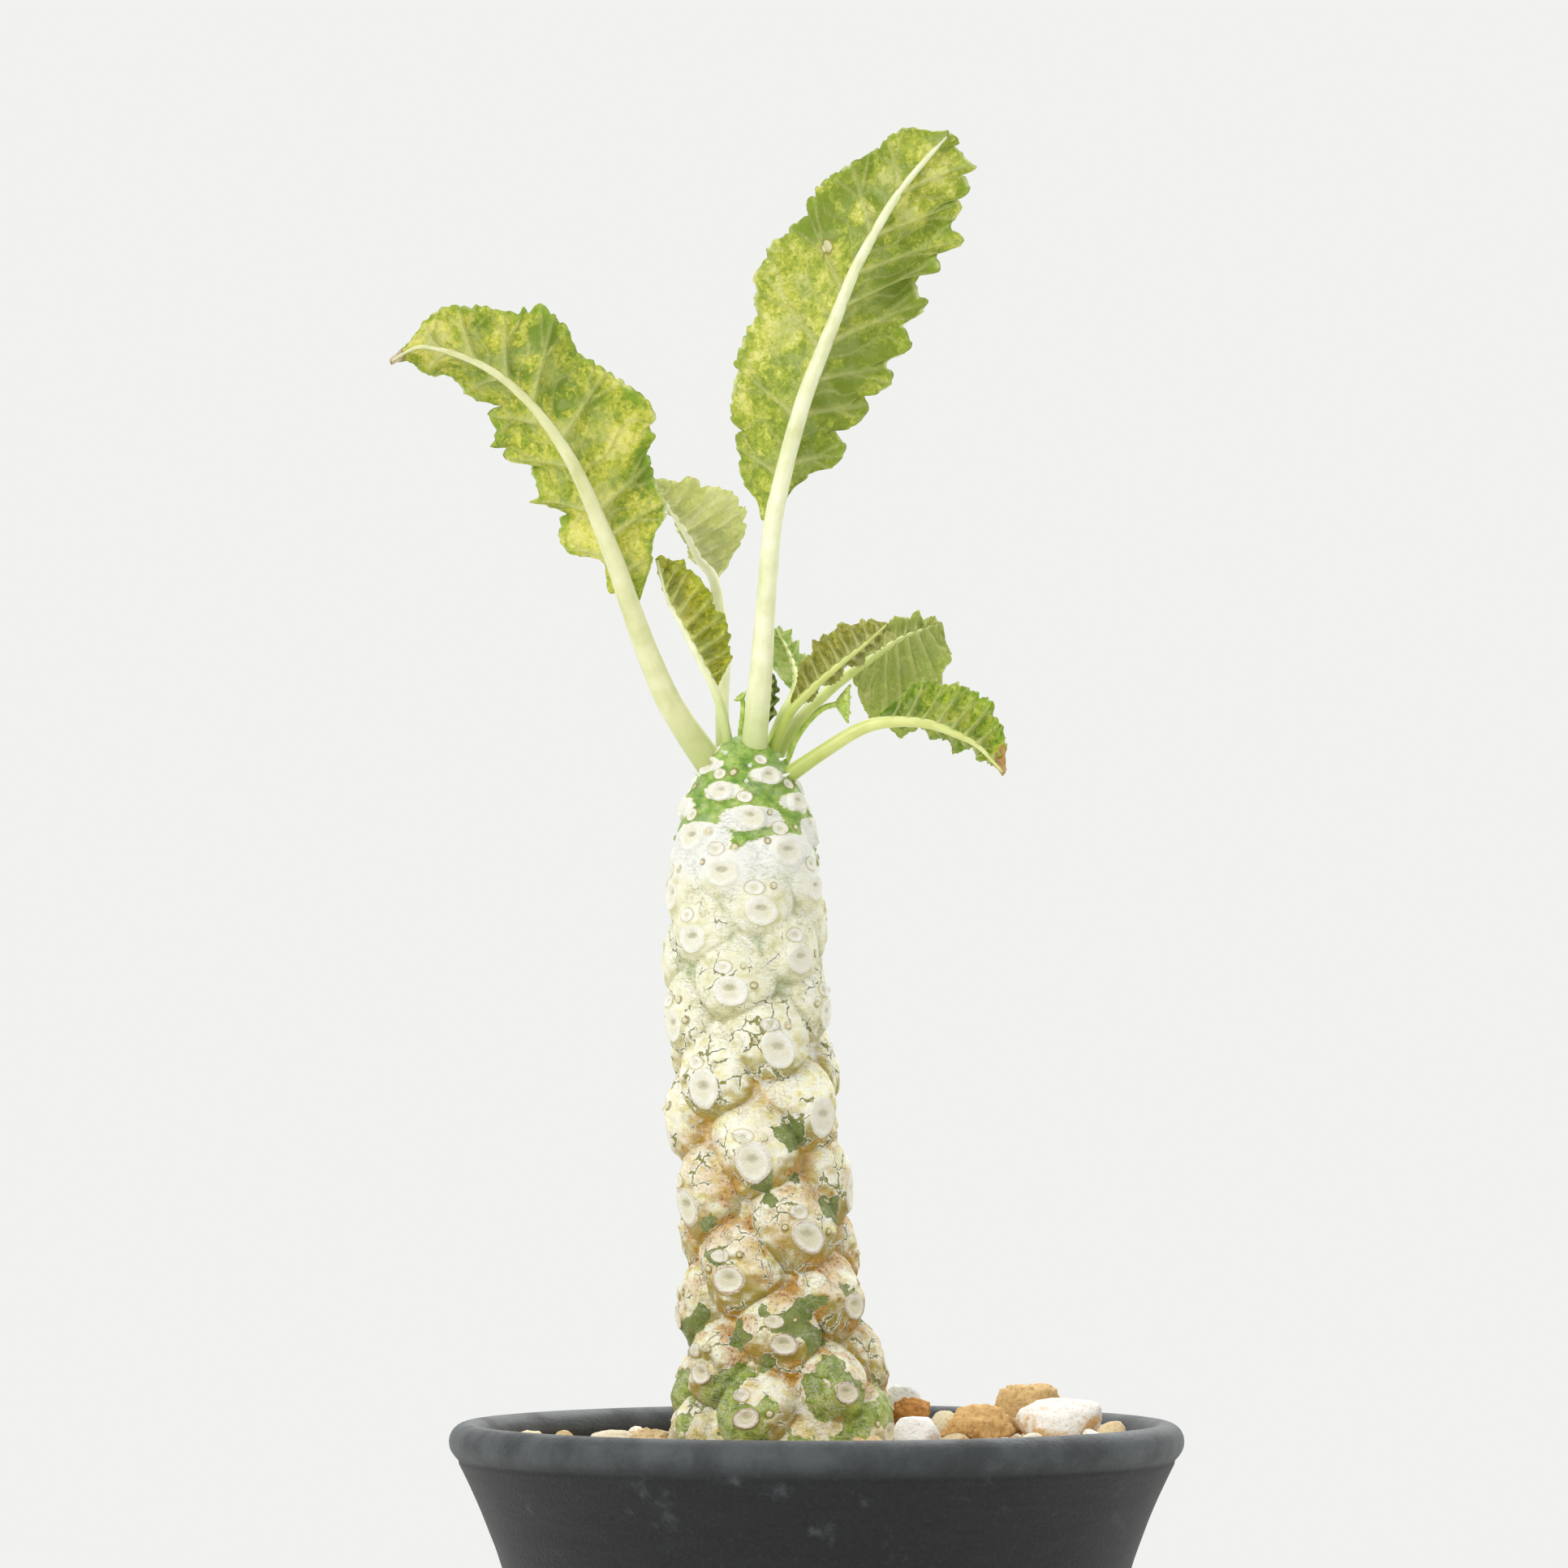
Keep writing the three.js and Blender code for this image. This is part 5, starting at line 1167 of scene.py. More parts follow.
            "edge": [(7.8, 163.7), (10.9, 163.9), (14.4, 162.8), (17.1, 161.1), (20, 160.1), (23.1, 157.2)],
            "yellow": [0.3, 0.35, 0.35],
        },
        "blemish": (22.5, 158, 2.9, "#cc9450", "#ecc088"),
        "side_veins": 8, "columns": 110, "rows": 30, "pucker": 0.8,
        "stalk_tint": "#eaeeb6",
        "greens": ("#6f921a", "#98b82a", "#bfcf44", "#dfe068", "#f1ee9c", "#8fb522"),
    },
    "leaf_back_right": {
        "rib": [
            (-5.5, 1.2, 159.1), (-2.2, 6, 164.4), (1.5, 11, 168.4), (4.5, 14, 170.9), (7.5, 17.5, 173.1),
            (10.5, 20.5, 175.2), (13.4, 23, 176.5), (16.1, 25, 177.5),
        ],
        "blade_from": 3, "stalk": [(0, 0.85), (0.4, 0.65), (1, 0.16)],
        "left": {
            "back": 3, "teeth": (8, 0.6),
            "edge": [(4.9, 171.7), (7.2, 175.8), (10.3, 177.8), (13.4, 178.3), (16.1, 177.6)],
            "yellow": [0.4, 0.5, 0.5],
        },
        "right": {
            "back": -2, "teeth": (8, 0.7),
            "edge": [(4.8, 170.8), (6, 166.9), (11.5, 163.1), (16.3, 171), (16.1, 177.2)],
            "yellow": [0.15, 0.25, 0.4],
        },
        "side_veins": 8, "columns": 100, "rows": 28, "pucker": 0.4,
        "stalk_tint": "#d3dc98",
        "greens": ("#acbb58", "#c5cf6e", "#d9dc84", "#e7e49c", "#f1eec0", "#c2d660"),
    },
    "leaf_back_left": {
        "rib": [
            (-11.4, 2, 159.2), (-11.7, 6.5, 166.1), (-11.5, 11.5, 173.6), (-12.7, 15.5, 182.2),
            (-14.6, 17.5, 185.1), (-16.2, 19.5, 188.3), (-18.1, 21.5, 191.3), (-20.5, 23, 195.1),
        ],
        "blade_from": 3, "stalk": [(0, 0.9), (0.4, 0.7), (1, 0.16)],
        "left": {
            "back": 7, "teeth": (8, 0.5),
            "edge": [(-12.9, 182.4), (-15.3, 185.9), (-17.2, 189.9), (-18.8, 193.4), (-20.5, 195.3)],
            "yellow": [0.5, 0.6, 0.5],
        },
        "right": {
            "back": 3, "teeth": (8, 0.7),
            "edge": [(-12.3, 182.6), (-9.4, 187.5), (-9.3, 192.4), (-14, 195.1), (-20.4, 195.7)],
            "yellow": [0.4, 0.6, 0.4],
        },
        "side_veins": 7, "columns": 100, "rows": 28, "pucker": 0.4,
        "greens": ("#e4e89a", "#eff0aa", "#f5f5be", "#f8f7cc", "#fbfae0", "#ecf2a4"),
    },
    "leaf_back_centre": {
        "rib": [
            (-6.5, 2.4, 159.4), (-4.3, 7, 165), (-2.7, 11, 168.2), (-2.6, 14, 170.7), (-3.4, 18, 173.4),
            (-5, 22, 176.8),
        ],
        "blade_from": 2, "stalk": [(0, 0.7), (0.4, 0.55), (1, 0.16)],
        "left": {
            "back": 3, "teeth": (7, 0.4),
            "edge": [(-3.1, 168.6), (-5.4, 171.6), (-6, 174.7), (-5.2, 176.9)],
            "yellow": [0.4, 0.4, 0.4],
        },
        "right": {
            "back": 3, "teeth": (7, 0.4),
            "edge": [(-2.3, 168.3), (-1.4, 172), (-2.5, 174.8), (-4.7, 177.1)],
            "yellow": [0.4, 0.4, 0.4],
        },
        "side_veins": 6, "columns": 80, "rows": 22, "pucker": 0.4,
        "stalk_tint": "#e3edb8",
        "greens": ("#b6d276", "#cbe08a", "#dbe89a", "#e9efb0", "#f3f4cc", "#c4dc7c"),
    },
    "leaf_bud_centre": {
        "rib": [
            (-7, 0.5, 160.9), (-6.4, 0.9, 163.6), (-6.1, 0.9, 166), (-5.8, 0.6, 168.1), (-5.6, 0.4, 170.2),
        ],
        "blade_from": 1, "stalk": [(0, 0.45), (0.4, 0.42), (1, 0.2)],
        "left": {
            "back": 2.4, "teeth": (4, 0.2),
            "edge": [(-6.8, 163.8), (-6.5, 166.6), (-6.1, 168.6), (-5.7, 170.3)],
            "yellow": [0.2, 0.2, 0.2],
        },
        "right": {
            "back": 0.8, "teeth": (4, 0.25),
            "edge": [(-6, 163.7), (-5.2, 166.4), (-5.1, 168.4), (-5.5, 170.3)],
            "yellow": [0.2, 0.2, 0.2],
        },
        "side_veins": 5, "columns": 60, "rows": 16, "ripple": 0.4, "pucker": 0.25,
        "stalk_tint": "#a5c878",
        "greens": ("#446f24", "#5c8a3a", "#759c3c", "#94b252", "#bccd80", "#648f30"),
    },
}


def curve(points, t):
    """A smooth curve through points, at shares t of their number."""
    points = np.array(points, float)
    guided = np.concatenate([[2 * points[0] - points[1]], points, [2 * points[-1] - points[-2]]])
    place = np.clip(t, 0, 1) * (len(points) - 1)
    i = np.minimum(place.astype(int), len(points) - 2)
    s = (place - i)[..., None]
    before, start, end, after = [guided[i + k] for k in range(4)]
    bend = (2 * before - 5 * start + 4 * end - after) * s ** 2 + (3 * (start - end) + after - before) * s ** 3
    return start + 0.5 * ((end - before) * s + bend)


def unit(vectors):
    return vectors / np.linalg.norm(vectors, axis=-1, keepdims=True)


def even_teeth(share, count):
    """Teeth that lean towards the tip: each rises slowly and drops back at the next notch."""
    part = (share * count) % 1
    rising = np.sin(part / TOOTH_LEAN * np.pi / 2)
    dropping = np.cos((part - TOOTH_LEAN) / (1 - TOOTH_LEAN) * np.pi / 2)
    return np.where(part < TOOTH_LEAN, rising, dropping) - TOOTH_MIDDLE


def margin_at(half, share):
    """The margin (across, height) at shares of its length, and the margin without its teeth."""
    if "teeth" in half:
        soft = curve(half["edge"], share)
        return soft, soft
    edge = np.array(half["edge"])
    walked = np.concatenate([[0], np.cumsum(np.hypot(*np.diff(edge, axis=0).T))])
    fine = np.linspace(-MARGIN_BEYOND, 1 + MARGIN_BEYOND, MARGIN_STEPS)
    folded = np.abs(1 - np.abs(1 - fine))
    line = np.stack([np.interp(folded, walked / walked[-1], edge[:, k]) for k in (0, 1)], -1)
    line[fine < 0] = 2 * edge[0] - line[fine < 0]
    line[fine > 1] = 2 * edge[-1] - line[fine > 1]
    window = np.hanning(MARGIN_SOFTENING) / np.hanning(MARGIN_SOFTENING).sum()
    soft = np.stack([np.convolve(line[:, k], window, "same") for k in (0, 1)], -1)
    real = curve(edge, np.interp(share, walked / walked[-1], np.linspace(0, 1, len(edge))))
    return real, np.stack([np.interp(share, fine, soft[:, k]) for k in (0, 1)], -1)


def side_veins(leaf, half):
    """Where each side vein leaves the rib and ends at the margin, as shares of both lengths."""
    count = leaf.get("side_veins", 0) + 1
    even = [(k / count, (k / count) ** VEIN_SWEEP) for k in range(1, count)]
    return np.array([(0, 0), *half.get("veins", even), (1, 1)])


def rib_at(leaf, share):
    """The rib from the blade's foot, at share 0, to its tip, at share 1."""
    start = leaf["blade_from"] / (len(leaf["rib"]) - 1)
    return curve(leaf["rib"], start + (1 - start) * share)


def vein_ridges(points, walked, index, v, count):
    """How strongly each point of a half lies on a side vein, a fork of one or a cross vein."""
    rows = walked.shape[1]
    spacing = walked[-1:] / count
    to_vein, to_minor = np.full_like(walked, FAR_FROM_VEINS), np.full_like(walked, FAR_FROM_VEINS)
    for k in np.arange(0.5, count - 1, 0.5):
        line = np.array([np.interp(k, index[:, 0], walked[:, j]) for j in range(rows)])[None, :]
        if k % 1:
            crooked = CROSS_SWAY * spacing * np.sin(9 * v + 2.3 * k)
            to_minor = np.minimum(to_minor, np.abs(walked - line - crooked * v) + 0.12)
        else:
            to_vein = np.minimum(to_vein, np.abs(walked - line) + 0.15 * eased(v, 0.9, 1))
            for fork in FORKS:
                branch = line + fork * spacing * np.maximum(0, v - FORKS_FROM - 0.1 * fork) * FORK_SPREAD
                hidden = 0.6 * (1 - eased(v, 0.48, 0.56))
                to_minor = np.minimum(to_minor, np.abs(walked - branch) + hidden)
    wander = 0.1 * noise(points, 1.5, 30)
    thick = (VEIN_HALF + VEIN_FOOT_HALF * (1 - v) ** 2) * (1 if rows > LARGE_LEAF_ROWS else SMALL_VEINS)
    vein = np.exp(-(np.maximum(0, to_vein + wander) / thick) ** 2) * (1 - 0.5 * v)
    minor = 0.6 * np.exp(-(np.maximum(0, to_minor + wander) / (0.6 * thick + 0.05)) ** 2)
    return np.maximum(vein, minor * eased(v, 0.02, 0.12))


def yellow_share(leaf, half, points, index, count):
    """How yellow the mosaic is at each point: from foot to tip, in drifts and in single patches."""
    yellow = np.interp(index, np.linspace(0, count - 1, len(half["yellow"])), half["yellow"])
    for change, size, seed in MOSAIC:
        yellow = yellow + change * noise(points, size, seed)
    for patch_x, patch_z, patch_reach, change in leaf.get("patches", []):
        away = np.hypot(points[..., 0] - patch_x, points[..., 2] - patch_z) / patch_reach
        yellow = yellow + change * (1 - eased(away + PATCH_RAGGED * noise(points, 1.2, 35), 0.6, 1.25))
    return yellow


def half_blade(leaf, half, side):
    """The points of one half's two faces, its faces, and the fields that its colours follow. The half
    is a grid: share runs from foot to tip, and v from the rib, at 0, to the margin, at 1."""
    columns, rows = leaf["columns"], leaf["rows"]
    veins = side_veins(leaf, half)
    order = veins.mean(axis=1)
    share = np.linspace(*BLADE_ENDS, columns)
    rib_share = np.interp(share, order, veins[:, 0])
    margin_share = np.interp(share, order, veins[:, 1])
    index = np.interp(share, order, np.arange(len(veins)))[:, None]
    v = np.linspace(0, 1, rows)[None, :]

    root = rib_at(leaf, rib_share)
    ahead, behind = np.minimum(rib_share + RIB_STEP, 1), np.maximum(rib_share - RIB_STEP, 0)
    tangent = unit(rib_at(leaf, ahead) - rib_at(leaf, behind))
    depth = rib_at(leaf, margin_share)[:, 1]
    depth = depth + half["back"] * np.sin(np.pi * margin_share) ** LEAN_FULLNESS
    real, soft = [np.stack([m[:, 0], depth, m[:, 1]], -1) for m in margin_at(half, margin_share)]
    reach = soft - root
    outwards = unit(reach)
    normal = unit(np.cross(tangent, outwards) * side)[:, None, :]
    taper = np.minimum(1, np.minimum(TAPER_IN * share, TAPER_OUT * (1 - share)))[:, None]
    points = root[:, None] + reach[:, None] * v[..., None]
    walked = np.cumsum(np.linalg.norm(np.diff(points, axis=0, prepend=points[:1]), axis=-1), axis=0)

    points = points + (real - soft)[:, None] * eased(v, TEETH_FROM, 1)[..., None]
    crinkled = even_teeth(walked[:, -1] / CRINKLE_SPACING, 1) * (0.36 + 0.26 * noise(soft, 2.2, 38))
    crinkled = (crinkled * taper[:, 0])[:, None] * eased(v, CRINKLE_FROM, 1)
    points = points + outwards[:, None] * crinkled[..., None]
    if "teeth" in half:
        count, length = half["teeth"]
        cut = length * even_teeth(margin_share, count)[:, None] * taper
        cut = cut * np.maximum(0, (v - TOOTH_ROOT) / TOOTH_REACH)
        points = points + outwards[:, None] * cut[..., None]

    vein = vein_ridges(points, walked, index, v, len(veins))
    puff = np.abs(np.sin(np.pi * index)) ** PUFF_FULLNESS
    puff = puff * eased(v, 0.0, 0.25) * (1 - 0.35 * eased(v, 0.7, 1))
    lumpy = layered(points, LUMPS)
    waves = np.sin(2 * np.pi * BLADE_WAVES * rib_share[:, None] + side)
    lift = leaf.get("ripple", RIPPLE) * v ** 2 * waves + BLADE_ARCH * 4 * v * (1 - v)
    lift = lift + leaf["pucker"] * (puff - 0.5 * eased(v, 0, 0.2)) + lumpy * eased(v, 0.03, 0.3)
    lift = lift - VEIN_SINK * vein * eased(v, 0, 0.06)
    points = points + normal * (lift * taper)[..., None]
    half_thick = np.broadcast_to(BLADE_THICKNESS / 2 * (1 - 0.5 * eased(v, 0.8, 1)), walked.shape)
    under = (points - normal * (half_thick + VEIN_RELIEF * vein)[..., None]).reshape(-1, 3)
    upper = (points + normal * half_thick[..., None]).reshape(-1, 3)

    spot_x, spot_z, spot_size = leaf.get("blemish", NO_BLEMISH)[:3]
    blemish = np.hypot(BLEMISH_NARROW * (points[..., 0] - spot_x), points[..., 2] - spot_z) / spot_size
    fields = {
        "vein": vein, "edge": np.broadcast_to(v, walked.shape),
        "yellow": yellow_share(leaf, half, points, index, len(veins)),
        "blemish": blemish + BLEMISH_RAGGED * noise(points, 0.6, 36), "upper": np.zeros_like(walked),
    }
    fields = {name: np.tile(field.ravel(), 2) for name, field in fields.items()}
    fields["upper"][len(upper):] = 1
    out = STREAK_STRETCH * np.linalg.norm(reach, axis=-1)[:, None] * v
    streak = np.stack(np.broadcast_arrays(VEIN_GAP * index, out, 9 * side), -1)
    fields["streak"] = np.tile(streak.reshape(-1, 3), (2, 1))

    sheet = grid_faces(rows=columns, columns=rows)
    count = columns * rows
    border = [*range(rows), *range(2 * rows - 1, count, rows)]
    border += [*range(count - 2, count - rows - 1, -1), *range(count - 2 * rows, 0, -rows)]
    faces = sheet + [[corner + count for corner in face[::-1]] for face in sheet]
    faces += [[b, a, a + count, b + count] for a, b in zip(border, border[1:] + border[:1])]
    return np.concatenate([under, upper]), faces if side < 0 else [face[::-1] for face in faces], fields


# The blade: five shades from deep green to cream, and a fresh green for the rim. A place is yellow where
# its share of yellow wins over the chance of the fleck it lies in; flecks are 0.4 to 1 mm wide.
def leaf_flesh(name, shades, ring, spot):
    flesh = bare_material(name)
    place = add(flesh, "TexCoord").outputs["Object"]
    vein, edge, yellow, blemish, upper = [
        add(flesh, "Attribute", attribute_name=field).outputs["Fac"]
        for field in ("vein", "edge", "yellow", "blemish", "upper")
    ]
    moved = drifting(flesh, place, mottling(flesh, place, 0.6 * MM, 3.0), 0.9 * MM)
    flecks = cells(flesh, moved, 0.95 * MM)
    crumbs = cells(flesh, moved, 0.4 * MM)
    net = cells(flesh, moved, 1.3 * MM, feature="DISTANCE_TO_EDGE")
    fleck = add(flesh, "SeparateXYZ", {0: flecks.outputs["Color"]}).outputs["X"]
    crumb = add(flesh, "SeparateXYZ", {0: crumbs.outputs["Color"]}).outputs["Y"]
    haze = mottling(flesh, place, 2.0 * MM, 6.0, 0.7)
    sage = mottling(flesh, place, 3.4 * MM)
    grain = mottling(flesh, place, 0.35 * MM, 3.0)
    streak = add(flesh, "Attribute", attribute_name="streak").outputs["Vector"]
    streaks = mottling(flesh, streak, 1.2, 5.0, 0.7)
    share = plus(flesh, 0.736, (yellow, 0.72), (haze, -0.4), (streaks, -0.4), (fleck, -0.33), (crumb, -0.34))
    body = ramp(flesh, share, *zip((0.1, 0.29, 0.44, 0.58, 0.78), shades))
    lines = where_all(flesh, (net, 0.06, 0.0))
    body = stained(flesh, body, "#b3c178", (sage, 0.46, 0.6, 0.0, 0.5), (edge, 0.8, 0.5))
    body = stained(flesh, body, shades[3], lines, 0.16)
    body = stained(flesh, body, "#d3d68b", vein, 0.85)
    body = stained(flesh, body, shades[5], (edge, 0.84, 0.95), (haze, 0.4, 0.56, 0.0, 0.65))
    body = stained(flesh, body, "#eeeeb0", (edge, 0.93, 1.0), (sage, 0.5, 0.62, 0.1, 0.85))
    body = stained(flesh, body, ring, (blemish, 0.95, 0.72), 0.75)
    body = stained(flesh, body, spot, (blemish, 0.66, 0.4), 0.9)
    body = stained(flesh, body, shades[0], upper, 0.35)
    bump = bumps(flesh, plus(flesh, grain, (lines, 0.7), (fleck, 0.4)), 0.7, 0.1 * MM)
    surface = add(flesh, "BsdfPrincipled", {
        "Base Color": body, "Roughness": 0.55, "Normal": bump, "Specular IOR Level": 0.3,
    })
    through_light = add(flesh, "BsdfTranslucent", {"Color": body, "Normal": bump})
    mixed = add(flesh, "MixShader", {0: 0.32, 1: surface, 2: through_light})
    add(flesh, "OutputMaterial", {"Surface": mixed})
    return flesh


# Stalk and rib: smooth and watery, pale cream-green, with soft streaks along it and a greener foot.
def stalk_flesh(name, tint):
    stalk = bare_material(name)
    place = add(stalk, "Attribute", attribute_name="place").outputs["Vector"]
    streaked = add(stalk, "Mapping", {"Vector": place, "Scale": (1, 0.05, 1)})
    streaks = mottling(stalk, streaked, 0.25, 4.0)
    clouds = mottling(stalk, place, 2.86, 3.0)
    fainter = add(stalk, "Math", {0: streaks, 1: 0.25}, operation="MULTIPLY")
    mixed = plus(stalk, fainter, (clouds, 0.8))
    colour = ramp(stalk, mixed, (0.3, "#d4d7a0"), (0.45, "#e2e4b6"), (0.6, "#edeec9"), (0.78, "#f4f4da"))
    up = add(stalk, "SeparateXYZ", {0: place}).outputs["Y"]
    colour = stained(stalk, colour, "#b0bf62", (up, 11.0, 1.0, 0.0, 0.75))
    parts = {"Factor": 1.0, "A": colour, "B": linear(tint)}
    colour = add(stalk, "Mix", parts, data_type="RGBA", blend_type="MULTIPLY")
    return finished(stalk, {
        "Base Color": colour, "Roughness": 0.42, "Normal": bumps(stalk, streaks, 0.25, 0.05 * MM),
        "Subsurface Weight": 0.25, "Subsurface Radius": (1.0, 1.0, 0.5), "Subsurface Scale": 1.2 * MM,
    })


def round_stalk(leaf):
    """A tapering stalk and rib along the leaf's curve, with its foot swollen into the stem. Its place
    keeps the streaks of the flesh straight along it."""
    rows = 6 * leaf["columns"] // 10
    share = np.linspace(0, BLADE_ENDS[1], rows)
    middle = curve(leaf["rib"], share)
    tangent = unit(np.gradient(middle, axis=0))
    sideways = unit(np.cross(tangent, [0, -1, 0]))
    forward = np.cross(sideways, tangent)
    radius = np.interp(share, *np.array(leaf["stalk"]).T)
    radius = radius + STALK_HEEL * leaf["stalk"][0][1] * np.maximum(0, 1 - share / HEEL_REACH) ** 2
    turn = np.arange(STALK_SIDES) * 2 * np.pi / STALK_SIDES
    across, ahead = np.cos(turn)[:, None], np.sin(turn)[:, None]
    ring = across * sideways[:, None] + ahead * forward[:, None]
    points = (middle[:, None] + radius[:, None, None] * ring).reshape(-1, 3)
    swell = 0.03 * noise(points, 3, 37)[:, None] * np.repeat(radius, STALK_SIDES)[:, None]
    points = points + swell * ring.reshape(-1, 3)
    walked = np.cumsum(np.linalg.norm(np.diff(middle, axis=0, prepend=middle[:1]), axis=1))
    place = np.stack(np.broadcast_arrays(STALK_ROUND * across.T, walked[:, None], STALK_ROUND * ahead.T), -1)
    faces = grid_faces(rows, STALK_SIDES, closed=True) + end_caps(rows, STALK_SIDES)
    return points, faces, {"place": place.reshape(-1, 3)}


for name, leaf in LEAVES.items():
    left, left_faces, left_fields = half_blade(leaf, leaf["left"], -1)
    right, right_faces, right_fields = half_blade(leaf, leaf["right"], 1)
    faces = left_faces + [[corner + len(left) for corner in face] for face in right_faces]
    fields = {field: np.concatenate([left_fields[field], right_fields[field]]) for field in left_fields}
    flesh = leaf_flesh(name + "_flesh", leaf["greens"], *leaf.get("blemish", NO_BLEMISH)[3:])
    blade = mesh_piece(name + "_blade", np.concatenate([left, right]), faces, flesh, fields)
    tint = leaf.get("stalk_tint", "#ffffff")
    points, faces, fields = round_stalk(leaf)
    stalk = mesh_piece(name + "_stalk", points, faces, stalk_flesh(name + "_stalk_flesh", tint), fields)
    for piece in (blade, stalk):
        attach(piece, "root")
        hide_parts(name)


# Flower heads
# Two small fleshy receptacles on bowed stalks: lobed green discs, pimpled with tiny flowers on the
# face, ringed by short arms. The larger one is seen edge on.
FLOWERS = {
    "flower_right": {
        "stalk": [
            (-4.6, 0.3, 157.6), (-3.6, 0.2, 159.4), (-2.6, 0.1, 161.9), (-1, -0.3, 164.2),
            (0.8, -0.8, 165.8), (2.7, -1, 166.4),
        ],
        "facing": (1, -0.1, -0.05), "radius": 2.1, "stalk_radius": 0.38,
    },
    "flower_left": {
        "stalk": [(-9.6, 1.2, 160.8), (-9.4, 1.2, 163), (-9.1, 1.3, 165.6), (-9.1, 1.3, 167)],
        "facing": (-0.6, -0.3, 0.75), "radius": 0.85, "stalk_radius": 0.3,
    },
}
DISC_PROFILE = [
    (0.01, -0.5), (0.14, -0.49), (0.25, -0.45), (0.5, -0.27), (0.72, -0.08), (0.88, 0.06), (0.98, 0.15),
    (1, 0.21), (0.96, 0.25), (0.84, 0.26), (0.7, 0.22), (0.5, 0.2), (0.3, 0.2), (0.15, 0.2), (0.01, 0.2),
]
DISC_SECTORS = 98
PIMPLE_HEIGHT = 0.03
PIMPLE_SIZE = 0.16
FACE_FROM = 0.15
LOBE_DEPTH = 0.06
ARM_COUNT = 7
ARM_LENGTH = 0.26
ARM_HALF_WIDTH = 0.11
ARM_HALF_THICKNESS = 0.1
ARM_TAPER = 0.35
ARM_PLACE = [1.04, 0, 0.22]
ARM_RAISED = Matrix.Rotation(-0.5, 3, "Y")


# Receptacle: fresh yellow-green, softly mottled, a little translucent and finely pimpled.
def receptacle_flesh():
    flesh = bare_material("receptacle_flesh")
    place = add(flesh, "TexCoord").outputs["Object"]
    mottle = mottling(flesh, place, 0.8 * MM, 4.0)
    pimples = cells(flesh, place, 0.33 * MM)
    colour = ramp(flesh, mottle, (0.3, "#98b444"), (0.5, "#b8cc60"), (0.7, "#d8e28e"))
    heights = add(flesh, "MapRange", {0: pimples, 1: 0.0, 2: 0.6, 3: 1.0, 4: 0.0})
    return finished(flesh, {
        "Base Color": colour, "Roughness": 0.45, "Normal": bumps(flesh, heights, 0.6, 0.1 * MM),
        "Subsurface Weight": 0.25, "Subsurface Radius": (0.8, 1.0, 0.3), "Subsurface Scale": 0.8 * MM,
    })


def flower_form():
    """A lobed, pimpled disc of radius 1 that faces up, ringed by raised arms of uneven length."""
    disc, faces = lathed(DISC_PROFILE, DISC_SECTORS)
    x, y = disc[:, 0], disc[:, 1]
    lobes = 1 + LOBE_DEPTH * np.cos(ARM_COUNT * np.arctan2(y, x)) * np.hypot(x, y)
    disc = disc * np.stack([lobes, lobes, np.ones_like(lobes)], -1)
    disc[:, 2] += PIMPLE_HEIGHT * noise(disc, PIMPLE_SIZE, 40) * (disc[:, 2] > FACE_FROM)
    arm_form, arm_faces = ball(3)
    arms = []
    for k in range(ARM_COUNT):
        length = ARM_LENGTH * (0.7 + 0.6 * ((0.618 * k) % 1))
        arm = arm_form * [length, ARM_HALF_WIDTH, ARM_HALF_THICKNESS] * (1 - ARM_TAPER * arm_form[:, :1])
        turned = np.array(Matrix.Rotation(2 * math.pi * (k + 0.5) / ARM_COUNT, 3, "Z"))
        arms.append((arm @ np.array(ARM_RAISED).T + ARM_PLACE) @ turned.T)
    arms, arm_faces = gathered(arms, arm_faces)
    faces += [[corner + len(disc) for corner in face] for face in arm_faces]
    return np.concatenate([disc, arms]), faces


receptacle = receptacle_flesh()
form, form_faces = flower_form()
for name, flower in FLOWERS.items():
    facing = Vector(flower["facing"]).normalized()
    stand = np.array(facing.to_track_quat("Z", "Y").to_matrix())
    centre = np.array(flower["stalk"][-1]) + 0.35 * flower["radius"] * np.array(facing)
    points = form * flower["radius"] @ stand.T + centre
    head = mesh_piece(name + "_head", points, form_faces, receptacle)
    thickness = [(0, flower["stalk_radius"]), (1, flower["stalk_radius"])]
    points, faces, fields = round_stalk({"rib": flower["stalk"], "columns": 60, "stalk": thickness})
    stalk = mesh_piece(name + "_stalk", points, faces, receptacle, fields)
    for piece in (head, stalk):
        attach(piece, "root")
        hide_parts(name)


# Studio
# A seamless off-white sweep under large soft lights: the plant stands on a pale round floor that
# fades into the background with the distance from the pot.
BACKDROP = "#f1f2ef"
BACKDROP_FRONT = "#9fa0a0"
FLOOR_RINGS = [NEAR_AXIS, 60, 200, 620]
FLOOR_SECTORS = 96
CAMERA_PLACE = (-4.0, -1000, 129.1)
CAMERA_PITCH = 1.57
CAMERA_LENS = 186.3
LIGHT_TARGET = Vector((0, 0, 120))
LIGHTS = [
    ((-520, -620, 560), 560, 5.5),
    ((560, -420, 380), 520, 1.2),
    ((120, 420, 620), 620, 4.0),
]  # where it stands, how large it is and how bright


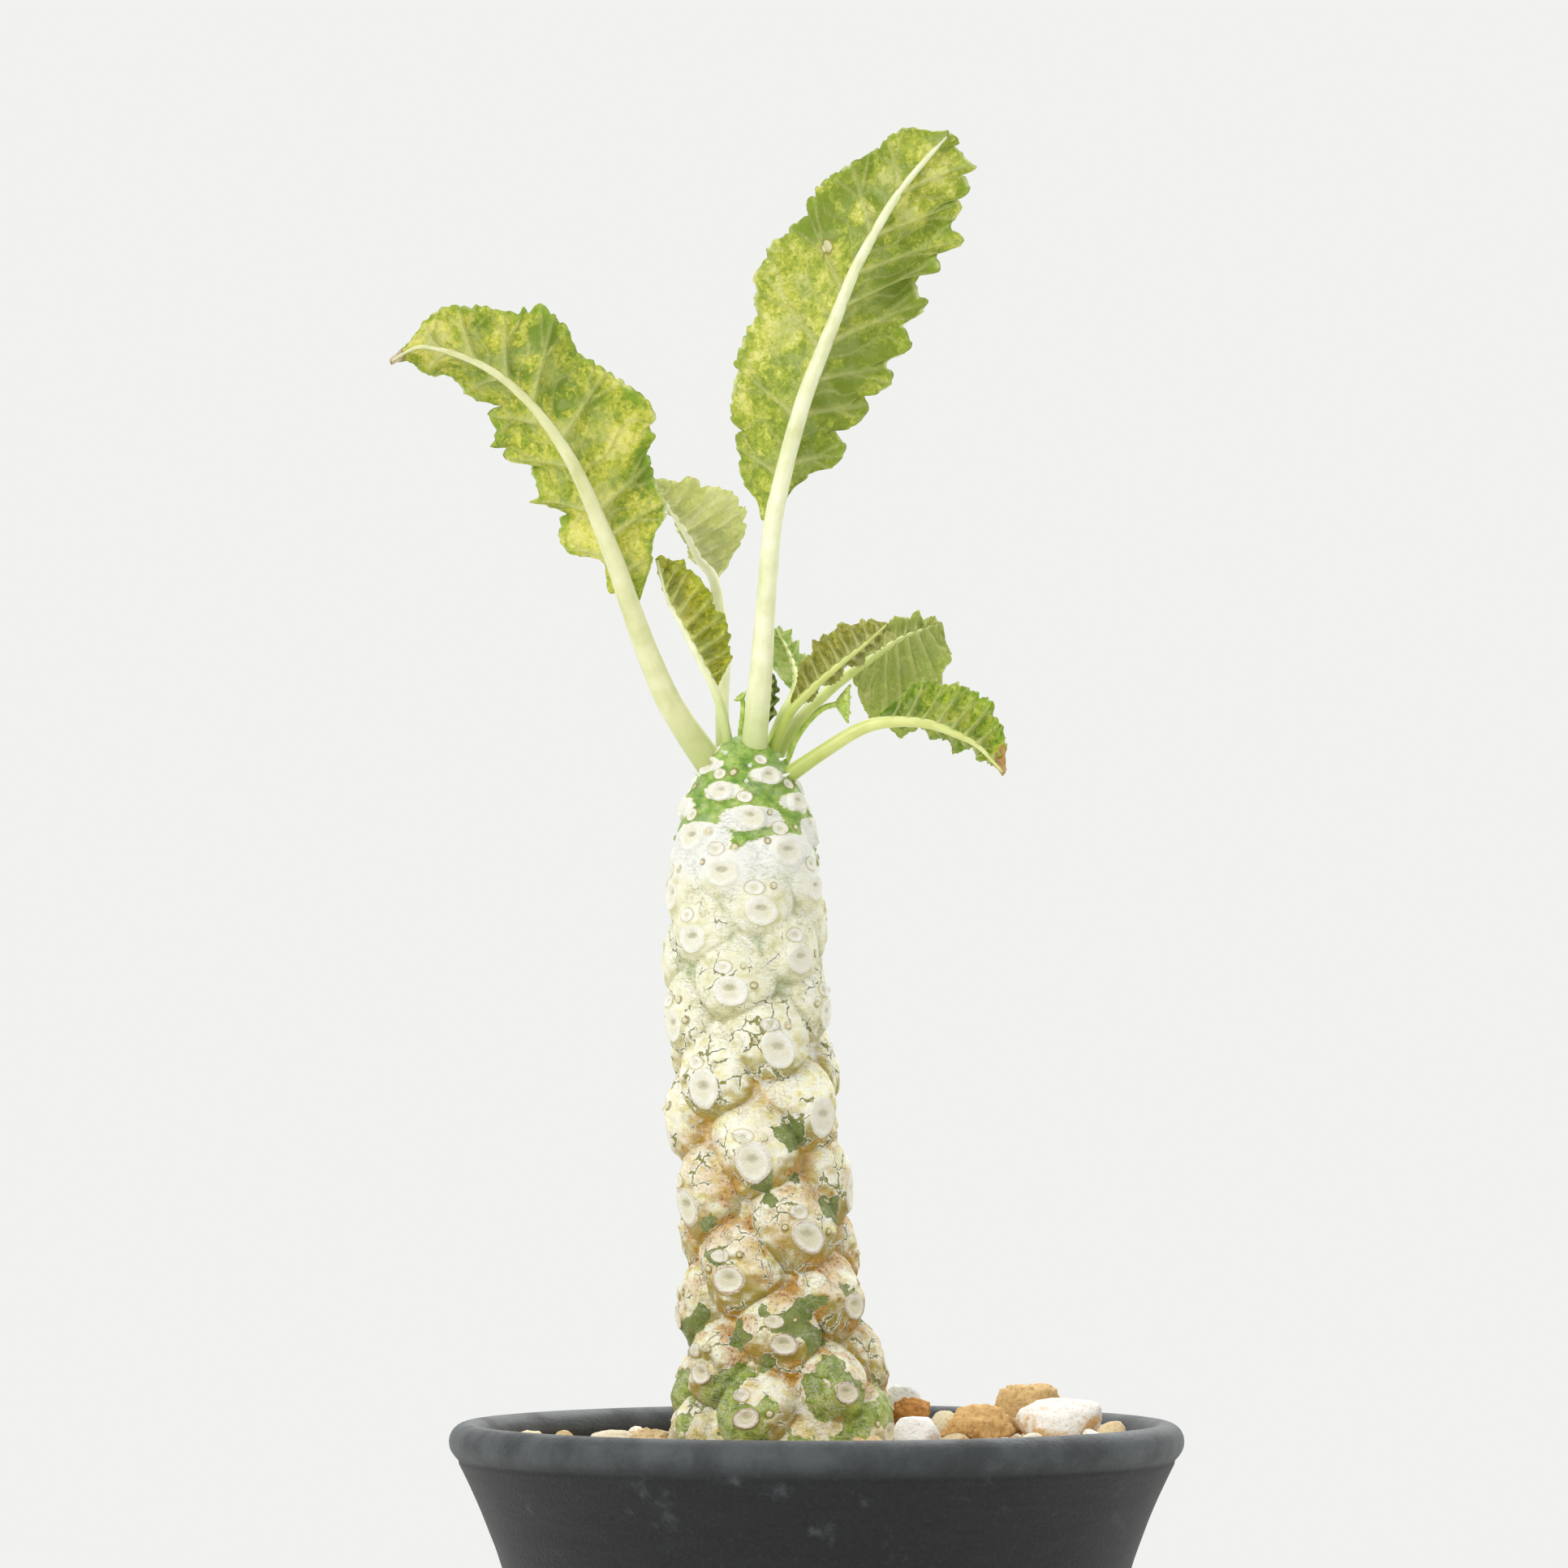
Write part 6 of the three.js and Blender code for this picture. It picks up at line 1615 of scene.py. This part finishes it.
# Paper floor: matte off-white that turns into the backdrop's own glow towards its edge.
def paper_floor():
    paper = bare_material("paper_floor")
    place = add(paper, "TexCoord").outputs["Object"]
    away = add(paper, "VectorMath", {0: place}, operation="LENGTH").outputs["Value"]
    share = add(paper, "MapRange", {0: away, 1: 0.12, 2: 0.5}, interpolation_type="SMOOTHSTEP")
    matte = add(paper, "BsdfPrincipled", {"Base Color": linear("#eeefec"), "Roughness": 0.9})
    glow = add(paper, "Emission", {"Color": linear(BACKDROP)})
    mixed = add(paper, "MixShader", {0: share, 1: matte, 2: glow})
    add(paper, "OutputMaterial", {"Surface": mixed})
    return paper


points, faces = lathed([(radius, 0) for radius in FLOOR_RINGS], FLOOR_SECTORS)
floor = mesh_piece("floor", points, [face[::-1] for face in faces], paper_floor())
floor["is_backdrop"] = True

world = bpy.data.worlds.new("studio")
world.use_nodes = True
world.node_tree.nodes.clear()
toward = add(world, "TexCoord").outputs["Generated"]
behind = add(world, "VectorMath", {0: toward, 1: (0.0, 0.86, 0.5)}, operation="DOT_PRODUCT").outputs["Value"]
share = add(world, "MapRange", {0: behind, 1: -0.5, 2: 0.6}, interpolation_type="SMOOTHSTEP")
shade = stained(world, linear(BACKDROP_FRONT), BACKDROP, share)
add(world, "OutputWorld", {"Surface": add(world, "Background", {"Color": shade})})
bpy.context.scene.world = world
for k, (spot, size, power) in enumerate(LIGHTS):
    lamp = bpy.data.lights.new(f"softbox_{k}", "AREA")
    lamp.size = size * MM
    lamp.energy = power
    light = bpy.data.objects.new(lamp.name, lamp)
    light.location = Vector(spot) * MM
    light.rotation_euler = (LIGHT_TARGET - Vector(spot)).to_track_quat("-Z", "Y").to_euler()
    bpy.context.scene.collection.objects.link(light)

camera = bpy.data.objects.new("camera", bpy.data.cameras.new("camera"))
camera.data.lens = CAMERA_LENS
camera.location = Vector(CAMERA_PLACE) * MM
camera.rotation_euler = (math.radians(90 + CAMERA_PITCH), 0, 0)
bpy.context.scene.collection.objects.link(camera)
bpy.context.scene.camera = camera
bpy.context.scene.view_settings.view_transform = "Standard"

scene_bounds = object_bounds()
sizes = [[[float(value) for value in corner] for corner in bounds] for bounds in (cad_bounds, scene_bounds)]
